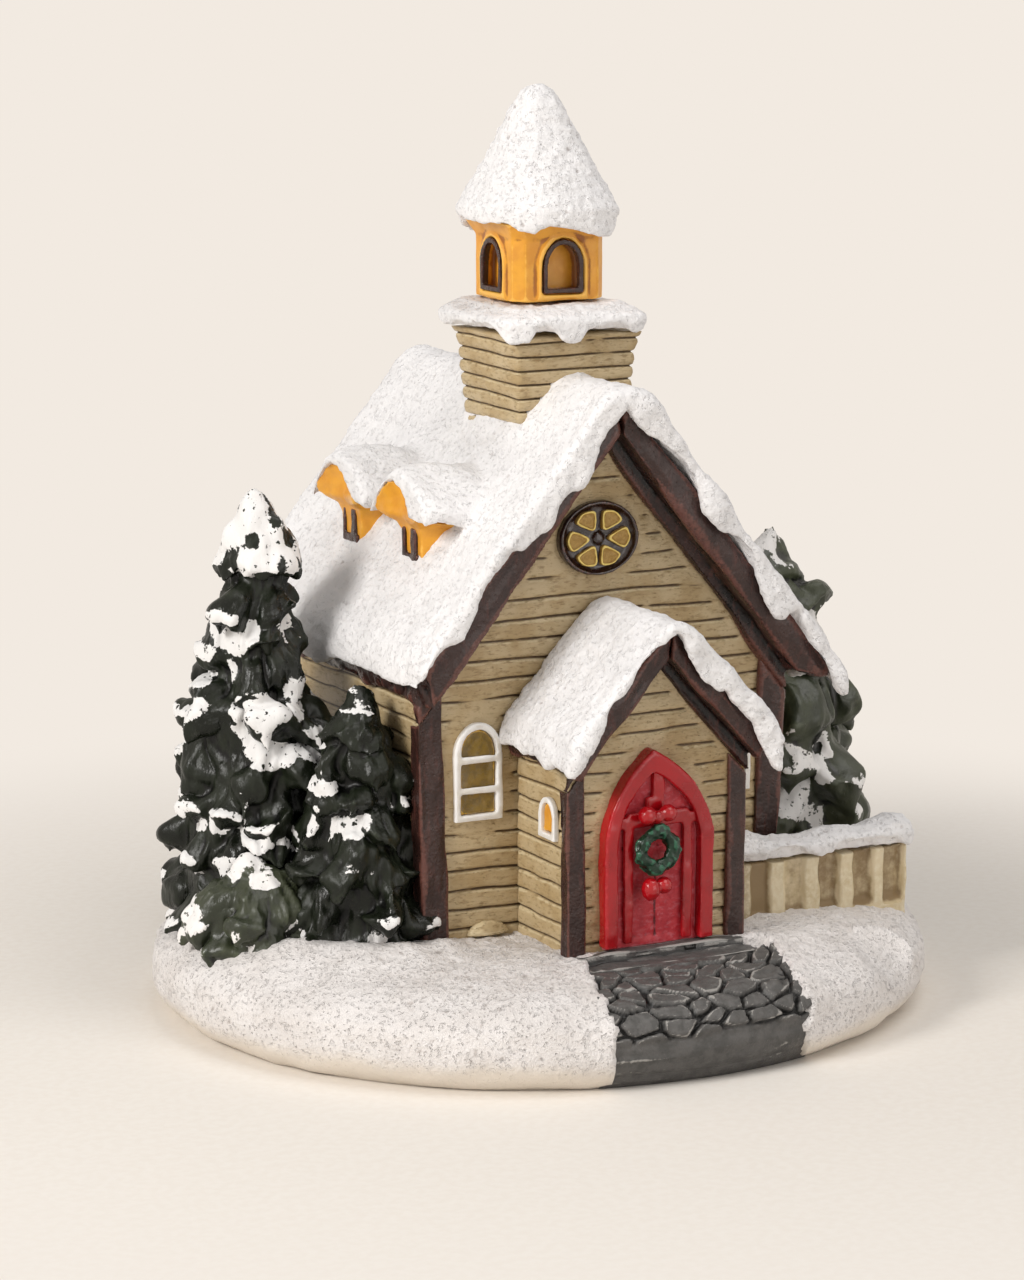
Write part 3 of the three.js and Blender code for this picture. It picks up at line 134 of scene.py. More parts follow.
def borderLoop(rows, columns):  # the edge points of an open grid, in order
    across, down = np.arange(columns), np.arange(1, rows)
    back = (rows - 1) * columns + across[-2::-1]
    return np.concatenate([across, down * columns + columns - 1, back, down[-2::-1] * columns])


def closedSheet(x, y, top, foot):  # a slab between two height grids
    points = np.concatenate([np.stack([x, y, z], -1).reshape(-1, 3) for z in (top, foot)])
    over = ringQuads(*x.shape, closed=False)
    loop = borderLoop(*x.shape)
    following = np.roll(loop, -1)
    sides = np.stack([loop, following, following + x.size, loop + x.size], 1)
    return points, np.concatenate([over[:, ::-1], over + x.size, sides[:, ::-1]]).tolist()


def merged(shapes):
    points, faces, base = [], [], 0
    for somePoints, someFaces in shapes:
        points.append(np.asarray(somePoints, float))
        faces += [[base + i for i in face] for face in someFaces]
        base += len(somePoints)
    return np.concatenate(points), faces


def recast(shapes, voxel, rounds=0):  # one closed skin of even quads round all the shapes
    points, faces = merged(shapes)
    mesh = bpy.data.meshes.new("recast")
    mesh.from_pydata(points.tolist(), [], faces)
    thing = bpy.data.objects.new("recast", mesh)
    bpy.context.scene.collection.objects.link(thing)
    skin = thing.modifiers.new("skin", "REMESH")
    skin.mode = "VOXEL"
    skin.voxel_size = voxel
    made = thing.evaluated_get(bpy.context.evaluated_depsgraph_get()).to_mesh()
    out = np.zeros(len(made.vertices) * 3)
    made.vertices.foreach_get("co", out)
    quads = np.zeros(len(made.loops), np.int64)
    made.loops.foreach_get("vertex_index", quads)
    bpy.data.objects.remove(thing)
    bpy.data.meshes.remove(mesh)
    quads = quads.reshape(-1, 4)
    return relaxed(out.reshape(-1, 3), quads, rounds), quads


def normalsOf(points, quads):
    across = np.cross(points[quads[:, 2]] - points[quads[:, 0]], points[quads[:, 3]] - points[quads[:, 1]])
    sums = [np.bincount(quads.ravel(), np.repeat(across[:, k], 4), minlength=len(points)) for k in range(3)]
    total = np.stack(sums, 1)
    return total / np.maximum(np.linalg.norm(total, axis=1, keepdims=True), 1e-12)


def averaged(points, quads):
    count = np.bincount(quads.ravel(), minlength=len(points)) * 2.0
    total = np.zeros(points.shape)
    for side in (1, 3):
        neighbours = points[np.roll(quads, side, 1).ravel()]
        for axis in range(points.shape[1]):
            total[:, axis] += np.bincount(quads.ravel(), neighbours[:, axis], minlength=len(points))
    return total / np.maximum(count, 1)[:, None]


def relaxed(points, quads, rounds):  # rounds corners off and keeps the bulk
    for k in range(rounds):
        points = points + 0.6 * (averaged(points, quads) - points)
        points = points - 0.45 * (averaged(points, quads) - points)
    return points


def uneven(points, quads, seed, *waves):  # noise along the normals, in (size, height) waves
    height = sum(amount * drift(points, size, seed + k) for k, (size, amount) in enumerate(waves))
    return points + normalsOf(points, quads) * height[:, None]


def edgeMasks(points, quads, reach=6, depth=0.12):  # hollows and edges, against the points' surroundings
    soft = points
    for k in range(reach):
        soft = averaged(soft, quads)
    sunk = ((soft - points) * normalsOf(points, quads)).sum(1)
    return {"hollow": ease(0, depth, sunk), "raised": ease(0, depth, -sunk)}


def snowRelief(points, normals, amount, seed, calm=0.0, coarse=1.0):  # lumps, grains and pits in the snow
    lumps = 0.26 * drift(points, 8.0, seed) + 0.17 * drift(points, 3.1, seed + 1)
    where = ease(-0.5, 0.5, drift(points, 9.0, seed + 6))
    first, second, number = seeds(points, 1.25, seed + 4)
    grit, pitted = number > 0.35, number < 0.2
    crumbs = 0.16 * (1 - ease(0.1, 0.75, first)) * grit - 0.24 * (1 - ease(0.1, 0.42, first)) * pitted
    broad, fine = drift(points, 1.0, seed + 2), drift(points, 0.62, seed + 3)
    height = amount * lumps + coarse * (1 - calm) * (0.1 * broad + 0.07 * fine + (0.5 + 0.5 * where) * crumbs)
    # hollow marks the pits and the dips of the fine grain, where the snow's colour is darkened as painted
    # shade
    pits = pitted * (1 - ease(0.15, 0.5, first)) * (0.4 + 0.6 * where)
    hollow = np.clip(pits * 0.9 + ease(0.2, 0.9, -broad) * 0.4, 0, 1) * (1 - calm) * coarse
    return points + normals * height[:, None], hollow


def addPiece(name, points, quads, finish, nodes, masks, ends=()):
    mesh = bpy.data.meshes.new(name)
    mesh.vertices.add(len(points))
    mesh.vertices.foreach_set("co", (np.asarray(points) * mm).ravel())
    corners = np.concatenate([quads.ravel(), *ends]).astype(np.int32)
    sizes = [len(end) for end in ends]
    starts = np.concatenate([np.arange(len(quads)) * 4, quads.size + np.cumsum([0] + sizes)[:-1]])
    mesh.loops.add(len(corners))
    mesh.loops.foreach_set("vertex_index", corners)
    mesh.polygons.add(len(starts))
    mesh.polygons.foreach_set("loop_start", starts.astype(np.int32))
    mesh.update(calc_edges=True)
    mesh.validate()
    mesh.polygons.foreach_set("use_smooth", np.ones(len(mesh.polygons), bool))
    for key, values in masks.items():
        layer = mesh.attributes.new(key, "FLOAT", "POINT")
        layer.data.foreach_set("value", np.asarray(values, np.float32))
    mesh.materials.append(finishes[finish])
    piece = bpy.data.objects.new(name, mesh)
    bpy.context.scene.collection.objects.link(piece)
    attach(piece, "root")
    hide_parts(*nodes)


# shader helpers
def colour(text):  # a web colour as scene-linear red, green, blue, 1
    parts = [int(text[k : k + 2], 16) / 255 for k in (0, 2, 4)]
    return tuple(c / 12.92 if c <= 0.04045 else ((c + 0.055) / 1.055) ** 2.4 for c in parts) + (1.0,)


class Tree:  # short calls for putting nodes together
    def __init__(self, tree):
        self.tree = tree

    def fill(self, socket, value):
        if isinstance(value, bpy.types.NodeSocket):
            self.tree.links.new(value, socket)
        else:
            socket.default_value = value

    def node(self, kind, settings=None, **inputs):  # inputs by name, or by number as i0, i1
        made = self.tree.nodes.new("ShaderNode" + kind)
        for key, value in (settings or {}).items():
            setattr(made, key, value)
        for key, value in inputs.items():
            byNumber = key[0] == "i" and key[1:].isdigit()
            self.fill(made.inputs[int(key[1:]) if byNumber else key.replace("_", " ")], value)
        return made

    def place(self, group, **inputs):
        return self.node("Group", {"node_tree": group}, **inputs).outputs

    def where(self):
        return self.node("TexCoord").outputs["Object"]

    def mask(self, key):
        return self.node("Attribute", {"attribute_name": key}).outputs["Fac"]

    def math(self, operation, a, b=0.0):
        return self.node("Math", {"operation": operation}, i0=a, i1=b).outputs[0]

    def mix(self, share, a, b):
        return self.node("Mix", {"data_type": "RGBA"}, i0=share, i6=a, i7=b).outputs[2]

    def step(self, value, low, high, outLow=0.0, outHigh=1.0):
        sockets = dict(i0=value, i1=low, i2=high, i3=outLow, i4=outHigh)
        return self.node("MapRange", {"interpolation_type": "SMOOTHSTEP"}, **sockets).outputs[0]

    def noise(self, vector, scale, detail=2.0, rough=0.5):
        return self.node("TexNoise", i0=vector, i2=scale, i3=detail, i4=rough).outputs[0]

    def around(self, value, amount):  # noise turned into a push up or down
        return self.math("MULTIPLY", self.math("SUBTRACT", value, 0.5), amount)

    def stretched(self, vector, along):  # scales the coordinates, so a pattern runs along an axis
        return self.node("VectorMath", {"operation": "MULTIPLY"}, i0=vector, i1=along).outputs[0]

    def bump(self, height, distance, strength):
        return self.node("Bump", i0=strength, i1=distance * mm, Height=height).outputs[0]


def newGroup(name, inputs, outputs):  # sockets as name=kind
    group = bpy.data.node_groups.new(name, "ShaderNodeTree")
    for direction, sockets in (("INPUT", inputs), ("OUTPUT", outputs)):
        for key, kind in sockets.items():
            group.interface.new_socket(name=key, in_out=direction, socket_type="NodeSocket" + kind)
    start, end = group.nodes.new("NodeGroupInput"), group.nodes.new("NodeGroupOutput")
    return group, Tree(group), start.outputs, end.inputs


# on the boarded walls the hollow mask also carries a painted shade line and the raised mask a painted
# highlight; on the garden wall the hollow mask carries painted shade
def makeBrushedPaint():  # base coat, wash in the hollows, dry brush on the high spots
    colours = dict(Base="Color", Second="Color", Wash="Color", High="Color")
    group, t, start, end = newGroup(
        "brushedPaint",
        dict(**colours, Hollow="Float", Raised="Float", Size="Float"),
        dict(Color="Color", Patches="Float"),
    )
    where = t.where()
    scale = t.math("DIVIDE", 1 / mm, start["Size"])
    patches = t.noise(where, scale, 4.0, 0.6)
    fine = t.noise(where, t.math("MULTIPLY", scale, 5.3), 3.0, 0.6)
    coat = t.mix(t.step(patches, 0.38, 0.66), start["Base"], start["Second"])
    hollow = t.math("ADD", start["Hollow"], t.around(fine, 0.55))
    coat = t.mix(t.step(hollow, 0.22, 0.78), coat, start["Wash"])
    raised = t.math("ADD", start["Raised"], t.around(fine, 0.8))
    t.fill(end["Color"], t.mix(t.step(raised, 0.45, 0.85), coat, start["High"]))
    t.fill(end["Patches"], patches)
    return group


def makeBrushStreaks():  # thin lines of another colour, along the coordinates' long axis
    group, t, start, end = newGroup(
        "brushStreaks",
        dict(Color="Color", Streak="Color", Vector="Vector", Size="Float", Amount="Float"),
        dict(Color="Color"),
    )
    lines = t.noise(start["Vector"], t.math("DIVIDE", 1 / mm, start["Size"]), 3.0, 0.6)
    share = t.step(lines, 0.5, 0.72, 0.0, start["Amount"])
    t.fill(end["Color"], t.mix(share, start["Color"], start["Streak"]))
    return group


def makeSnowDabs():  # white paint dabbed on the tips, with bare flecks
    group, t, start, end = newGroup("snowDabs", dict(Snow="Float"), dict(Dabs="Float"))
    where = t.where()
    edge = t.math("ADD", start["Snow"], t.around(t.noise(where, 1 / (1.1 * mm), 4.0, 0.6), 0.9))
    flecks = t.step(t.noise(where, 1 / (0.8 * mm), 3.0, 0.55), 0.62, 0.66, 1.0, 0.0)
    t.fill(end["Dabs"], t.math("MULTIPLY", t.step(edge, 0.47, 0.53), flecks))
    return group


# the Pit colour is painted shade, laid in the pits, the pocks and the dips of the grain
def makeSprinkledSnow():  # granular snow: soft patches, darker pits, a smooth band and odd specks
    colours = dict(Base="Color", Second="Color", Pit="Color", Band="Color", Speck="Color")
    group, t, start, end = newGroup(
        "sprinkledSnow",
        dict(**colours, Hollow="Float", Smooth="Float", Specks="Float"),
        dict(Color="Color", Pocks="Float", Fine="Float"),
    )
    where = t.where()
    fine = t.noise(where, 1 / (0.55 * mm), 3.0, 0.65)
    pocks = t.step(t.noise(where, 1 / (0.62 * mm), 3.0, 0.6), 0.56, 0.68)
    pits = t.math("MAXIMUM", start["Hollow"], t.math("MULTIPLY", pocks, 0.2))
    pits = t.math("ADD", pits, t.around(fine, 0.7))
    coat = t.mix(t.step(t.noise(where, 1 / (6.0 * mm), 3.0), 0.35, 0.7), start["Base"], start["Second"])
    coat = t.mix(t.step(pits, 0.25, 0.95, 0.0, 0.65), coat, start["Pit"])
    coat = t.mix(start["Smooth"], coat, start["Band"])
    specks = t.step(t.noise(where, 1 / (1.3 * mm)), 0.74, 0.79, 0.0, start["Specks"])
    t.fill(end["Color"], t.mix(specks, coat, start["Speck"]))
    t.fill(end["Pocks"], pocks)
    t.fill(end["Fine"], fine)
    return group


def makeCastGrain():  # the skin of cast resin: soft brush ridges and small pinholes
    group, t, start, end = newGroup(
        "castGrain", dict(Vector="Vector", Size="Float", Pinholes="Float"), dict(Height="Float")
    )
    scale = t.math("DIVIDE", 1 / mm, start["Size"])
    ridges = t.noise(start["Vector"], scale, 4.0, 0.6)
    cells = t.node("TexVoronoi", i0=start["Vector"], i2=t.math("MULTIPLY", scale, 0.9)).outputs["Distance"]
    holes = t.math("MULTIPLY", t.step(cells, 0.08, 0.2, 1.0, 0.0), start["Pinholes"])
    t.fill(end["Height"], t.math("SUBTRACT", ridges, holes))
    return group


brushedPaint = makeBrushedPaint()
brushStreaks = makeBrushStreaks()
snowDabs = makeSnowDabs()
sprinkledSnow = makeSprinkledSnow()
castGrain = makeCastGrain()


def startMaterial(name):
    material = bpy.data.materials.new(name)
    material.use_nodes = True
    return material, Tree(material.node_tree), material.node_tree.nodes["Principled BSDF"].inputs


def painted(name, look):  # one painted resin finish; what look leaves out comes from plainPaint
    look = {**plainPaint, **look}
    material, t, shader = startMaterial(name)
    shader["Specular IOR Level"].default_value = look["shine"]
    where = t.where()
    colours = {key: colour(look[key.lower()]) for key in ("Base", "Second", "Wash", "High")}
    hollow = t.mask("hollow")
    raised = t.math("MULTIPLY", t.mask("raised"), look["highAmount"])
    paint = t.place(brushedPaint, **colours, Hollow=hollow, Raised=raised, Size=look["patch"])
    coat, rough = paint["Color"], t.step(paint["Patches"], 0.3, 0.7, *look["gloss"])
    if "streak" in look:
        streak = look["streak"]
        lines = dict(Vector=t.stretched(where, streak["along"]), Size=streak["size"], Amount=streak["amount"])
        coat = t.place(brushStreaks, Color=coat, Streak=colour(streak["colour"]), **lines)["Color"]
    if "dab" in look:
        dabs = t.place(snowDabs, Snow=t.mask("snow"))["Dabs"]
        coat = t.mix(dabs, coat, colour(look["dab"]))
        rough = t.math("MAXIMUM", rough, t.math("MULTIPLY", dabs, 0.62))
    grain = dict(Vector=t.stretched(where, look["along"]), Size=look["grain"], Pinholes=look["pinholes"])
    normal = t.bump(t.place(castGrain, **grain)["Height"], look["relief"], look["bump"])
    t.fill(shader["Base Color"], coat)
    t.fill(shader["Roughness"], rough)
    t.fill(shader["Normal"], normal)
    if "coat" in look:
        shader["Coat Weight"].default_value = look["coat"]
        shader["Coat Roughness"].default_value = 0.15
    return material


def snowFinish(name, look):
    material, t, shader = startMaterial(name)
    band = t.mask("band")
    colours = {key: colour(look[key.lower()]) for key in ("Base", "Second", "Pit", "Band", "Speck")}
    snow = t.place(sprinkledSnow, **colours, Hollow=t.mask("hollow"), Smooth=band, Specks=look["specks"])
    grain = t.place(castGrain, Vector=t.where(), Size=look["grain"], Pinholes=0.5)["Height"]
    calm = t.math("SUBTRACT", 1.0, t.math("MULTIPLY", band, 0.8))
    skin = t.math("SUBTRACT", grain, t.math("MULTIPLY", snow["Pocks"], 0.5))
    t.fill(shader["Base Color"], snow["Color"])
    t.fill(shader["Roughness"], t.step(snow["Fine"], 0.3, 0.7, 0.62, 0.85))
    t.fill(shader["Normal"], t.bump(t.math("MULTIPLY", skin, calm), look["relief"], look["bump"]))
    return material


# pit is the colour of the painted shade in the snow's pits and dips
snows = dict(
    snow=dict(base="eeecec", second="e6e4e4", pit="aca29e", band="e6ddd0", speck="8a7f78", specks=0.25,
              grain=0.75, relief=0.3, bump=0.8),
    moundSnow=dict(base="e9e4e1", second="dfd9d5", pit="ada39d", band="e3dace", speck="8a7f78", specks=0.2,
                   grain=0.62, relief=0.42, bump=1.0),
)
plainPaint = dict(shine=0.5, patch=3.0, grain=0.6, pinholes=0.3, relief=0.06, bump=0.6, highAmount=1.0,
                  along=(1, 1, 1))
paints = dict(
    # the siding's wash colour also paints the shade line under each board, and its high colour the painted
    # highlight on the lit board edges
    siding=dict(base="c1ac86", second="ae956b", wash="4c3a25", high="d2c09a", gloss=(0.4, 0.58), patch=6.0,
                grain=0.45, relief=0.16, bump=0.9, pinholes=0.7, along=(0.6, 0.6, 1.4),
                streak=dict(along=(0.3, 0.3, 1.0), size=0.34, amount=0.75, colour="8a7148")),
    trim=dict(base="38231e", second="2c1a16", wash="0e0706", high="653f36", gloss=(0.2, 0.4), patch=2.5,
              grain=0.7, relief=0.2, bump=0.9, highAmount=0.75, shine=0.35, coat=0.12,
              streak=dict(along=(1.0, 1.0, 0.22), size=0.8, amount=0.5, colour="5c342d")),
    rosetteTrim=dict(base="2c1715", second="221210", wash="0c0605", high="6a4038", gloss=(0.14, 0.24),
                     patch=1.6, relief=0.12, bump=0.8, highAmount=0.7, coat=0.5),
    honey=dict(base="e3a02e", second="d69026", wash="9a5c17", high="f0b64e", gloss=(0.3, 0.46),
               grain=0.5, relief=0.05, shine=0.45, coat=0.1),
    foliage=dict(base="10130c", second="1c2116", wash="060705", high="3a4032", gloss=(0.2, 0.42), patch=5.0,
                 grain=0.7, relief=0.16, along=(1.2, 1.2, 0.5), highAmount=0.5, shine=0.3, dab="e9e7e5"),
    foliageOlive=dict(base="262b1d", second="3a3f2b", wash="0c0e09", high="525843", gloss=(0.3, 0.5),
                      patch=6.0, grain=0.7, relief=0.14, along=(1.2, 1.2, 0.5), highAmount=0.6, dab="ece9e6"),
    stone=dict(base="555351", second="454442", wash="0f0f0f", high="9b9893", gloss=(0.4, 0.6), patch=1.6,
               grain=0.35, relief=0.1, bump=0.8, pinholes=0.6),
    redGloss=dict(base="ad0c17", second="9b0912", wash="52050a", high="c8323a", gloss=(0.16, 0.3), patch=4.0,
                  grain=0.9, relief=0.05, highAmount=0.55, shine=0.45, coat=0.2),
    redLeaf=dict(base="bc2f38", second="ab2a34", wash="5c0d15", high="c25a62", gloss=(0.36, 0.56), patch=1.8,
                 grain=0.45, relief=0.12, bump=0.9, shine=0.4, along=(1.0, 1.0, 0.6),
                 streak=dict(along=(0.5, 1.0, 1.0), size=0.5, amount=0.5, colour="c8707a")),
    paleStone=dict(base="d8c7a5", second="c8b58f", wash="8a7350", high="e0d4b8", gloss=(0.42, 0.6),
                   patch=4.0, relief=0.07),
    whiteFrame=dict(base="ece9e4", second="e2ddd4", wash="a89e8c", high="f3f1ee", gloss=(0.4, 0.5),
                    grain=0.5, relief=0.03),
    amberPane=dict(base="8b7134", second="6f5a2b", wash="4a3a1a", high="c39a3a", gloss=(0.2, 0.34),
                   patch=1.2, grain=0.8, coat=0.4),
    glitter=dict(base="cca552", second="b0873a", wash="7a5a22", high="f0d67c", gloss=(0.35, 0.55), patch=0.4,
                 grain=0.25, relief=0.08, pinholes=0.0),
    wreath=dict(base="11301f", second="0c2417", wash="050f0a", high="2d5c45", gloss=(0.22, 0.4), patch=1.0,
                grain=0.5, relief=0.08, shine=0.35, coat=0.1),
)
finishes = {key: snowFinish(key + "Paint", look) for key, look in snows.items()}
finishes.update({key: painted(key + "Paint", look) for key, look in paints.items()})
print("finishes ready:", len(finishes))

# stage, lights and camera
studio = dict(
    camera=(-225.50, -434.55, 139.31), azimuth=-27.0, down=10.8, focal=109.6875, aim=(0, 0, 45),
    floor="eee8e0", floorTooth="ebe4db", far="f2eae1", floorRadius=4000.0, fadeFrom=70.0, fadeTo=170.0,
    skyTint=(1.0, 0.985, 0.97, 1), sky=0.3,
)
lamps = dict(
    keyLight=dict(at=(-560, -150, 350), size=220, power=2.95, tint=(1.0, 0.98, 0.955)),
    fillLight=dict(at=(210, -600, 170), size=420, power=0.84, tint=(1.0, 0.98, 0.97)),
    topLight=dict(at=(150, -200, 720), size=480, power=1.9, tint=(1.0, 0.985, 0.97)),
)


def addLight(name, spec):
    lamp = bpy.data.lights.new(name, "AREA")
    lamp.size = spec["size"] * mm
    lamp.energy = spec["power"]
    lamp.color = spec["tint"]
    thing = bpy.data.objects.new(name, lamp)
    thing.location = Vector(spec["at"]) * mm
    thing.rotation_euler = (Vector(studio["aim"]) - Vector(spec["at"])).to_track_quat("-Z", "Y").to_euler()
    bpy.context.scene.collection.objects.link(thing)


def seenDirectly(t):  # 1 for what the camera sees straight on, in a reflection or through glass
    path = t.node("LightPath").outputs
    seen = t.math("MAXIMUM", path["Is Camera Ray"], path["Is Glossy Ray"])
    return t.math("MAXIMUM", seen, path["Is Transmission Ray"])


def addFloor():
    sides = 64
    turn = np.arange(sides) / sides * 2 * math.pi
    rim = np.stack([np.cos(turn), np.sin(turn), 0 * turn], 1) * studio["floorRadius"] * mm
    mesh = bpy.data.meshes.new("paperFloor")
    mesh.from_pydata(rim.tolist(), [], [list(range(sides))])
    material, t, shader = startMaterial("paperFloor")
    shader["Roughness"].default_value = 0.85
    where = t.where()
    tooth = t.step(t.noise(where, 1 / (1.2 * mm), 3.0), 0.3, 0.7)
    t.fill(shader["Base Color"], t.mix(tooth, colour(studio["floor"]), colour(studio["floorTooth"])))
    away = t.node("VectorMath", {"operation": "LENGTH"}, i0=where).outputs["Value"]
    far = t.step(away, studio["fadeFrom"] * mm, studio["fadeTo"] * mm)
    nodes = material.node_tree.nodes
    glow = t.node("Emission", Color=colour(studio["far"])).outputs[0]
    share = t.math("MULTIPLY", far, seenDirectly(t))
    both = t.node("MixShader", i0=share, i1=nodes["Principled BSDF"].outputs[0], i2=glow)
    t.fill(nodes["Material Output"].inputs["Surface"], both.outputs[0])
    mesh.materials.append(material)
    sheet = bpy.data.objects.new("paperFloor", mesh)
    bpy.context.scene.collection.objects.link(sheet)


def addRoom():
    world = bpy.data.worlds.new("softRoom")
    world.use_nodes = True
    t = Tree(world.node_tree)
    light = world.node_tree.nodes["Background"]
    light.inputs["Color"].default_value = studio["skyTint"]
    light.inputs["Strength"].default_value = studio["sky"]
    seen = t.node("Background", Color=colour(studio["far"]))
    both = t.node("MixShader", i0=seenDirectly(t), i1=light.outputs[0], i2=seen.outputs[0])
    t.fill(world.node_tree.nodes["World Output"].inputs["Surface"], both.outputs[0])
    bpy.context.scene.world = world
    for name, spec in lamps.items():
        addLight(name, spec)


def addCamera():
    lens = bpy.data.cameras.new("photoCamera")
    lens.lens = studio["focal"]
    lens.sensor_width = 36.0
    lens.clip_start, lens.clip_end = 0.01, 20.0
    camera = bpy.data.objects.new("photoCamera", lens)
    camera.location = Vector(studio["camera"]) * mm
    a, e = math.radians(studio["azimuth"]), math.radians(studio["down"])
    ahead = Vector((-math.sin(a) * math.cos(e), math.cos(a) * math.cos(e), -math.sin(e)))
    camera.rotation_euler = ahead.to_track_quat("-Z", "Y").to_euler()
    bpy.context.scene.collection.objects.link(camera)
    bpy.context.scene.camera = camera


addFloor()
addRoom()
addCamera()
bpy.context.scene.view_settings.view_transform = "Standard"
print("stage, lights and camera placed")

# boarded walls
boardPlaces = (0.0, 0.045, 0.1, 0.2, 0.42, 0.65, 0.85, 0.94)  # rows of points in one board
walls = dict(  # openings are (x, z, half width, half height), with plain boards in a band round them
    house=dict(name="houseWalls", node="house_walls", centreX=1.9, frontY=-13.0, backY=35.0, foot=24.2,
               eave=25.2, eaveZ=42.7, apexZ=74.0, bottomZ=8.4, board=2.4, wobble=0.34, lap=0.12, belly=0.08,
               groove=0.42, columns=(150, 84, 118, 84), seed=11, band=1.3,
               openings=((-15.7, 33.0, 4.3, 8.0), (19.9, 33.0, 4.3, 8.0), (0.9, 61.0, 6.4, 5.7))),
    porch=dict(name="porchWalls", node="porch_walls", centreX=1.9, frontY=-27.0, backY=-13.4, foot=11.8,
               eave=12.0, eaveZ=35.2, apexZ=48.2, bottomZ=8.6, board=2.35, wobble=0.3, lap=0.12, belly=0.08,
               groove=0.42, columns=(96, 46, 20, 46), seed=23, band=0.8, openings=((1.5, 23.0, 8.3, 14.4),)),
    tower=dict(name="towerWalls", node="tower_walls", centreX=1.6, middleY=1.8, foot=7.3, top=8.25,
               flare=0.5, flareZ=83.0, bottomZ=72.8, apexZ=86.2, board=1.72, wobble=0.16, lap=0.06,
               belly=0.3, groove=0.34, columns=(46, 46, 46, 46), seed=31),
)


def gableHalf(spec, z):  # half width of a gabled body at each height
    rise = (z - spec["bottomZ"]) / (spec["eaveZ"] - spec["bottomZ"])
    side = spec["foot"] + (spec["eave"] - spec["foot"]) * rise
    slope = spec["eave"] * (spec["apexZ"] - z) / (spec["apexZ"] - spec["eaveZ"])
    return np.minimum(side, slope)


def wallPlan(spec, z):  # the plan's corners at heights z, shaped (rows, 4, 2)
    if "eave" in spec:
        half = gableHalf(spec, z)
        low, high = np.full(len(z), spec["frontY"]), np.full(len(z), spec["backY"])
    else:
        taper = (spec["top"] - spec["foot"]) * (z - spec["bottomZ"]) / 12
        half = spec["foot"] + taper + spec["flare"] * ease(spec["flareZ"], spec["apexZ"], z)
        low, high = spec["middleY"] - half, spec["middleY"] + half
    left, right = spec["centreX"] - half, spec["centreX"] + half
    corners = ((left, low), (right, low), (right, high), (left, high))
    return np.stack([np.stack(corner, 1) for corner in corners], 1)


def plainBoards(spec, points):  # 1 round each opening of the front and along its right rake
    x, y, z = points[..., 0], points[..., 1], points[..., 2]
    if "eave" not in spec:
        return np.zeros(x.shape)
    front = y < spec["frontY"] + 0.1
    quiet = np.zeros(x.shape)
    for middleX, middleZ, wide, tall in spec["openings"]:
        away = np.sqrt(((x - middleX) / wide) ** 2 + ((z - middleZ) / tall) ** 2)
        quiet = np.maximum(quiet, 1 - ease(1.0, 1.0 + spec["band"] / min(wide, tall), away))
    edge = gableHalf(spec, z) - np.abs(x - spec["centreX"])
    rake = (z > spec["eaveZ"] - 4) & front & (x > spec["centreX"])
    return np.maximum(quiet * front, rake * (1 - ease(1.6, 2.6, edge)))


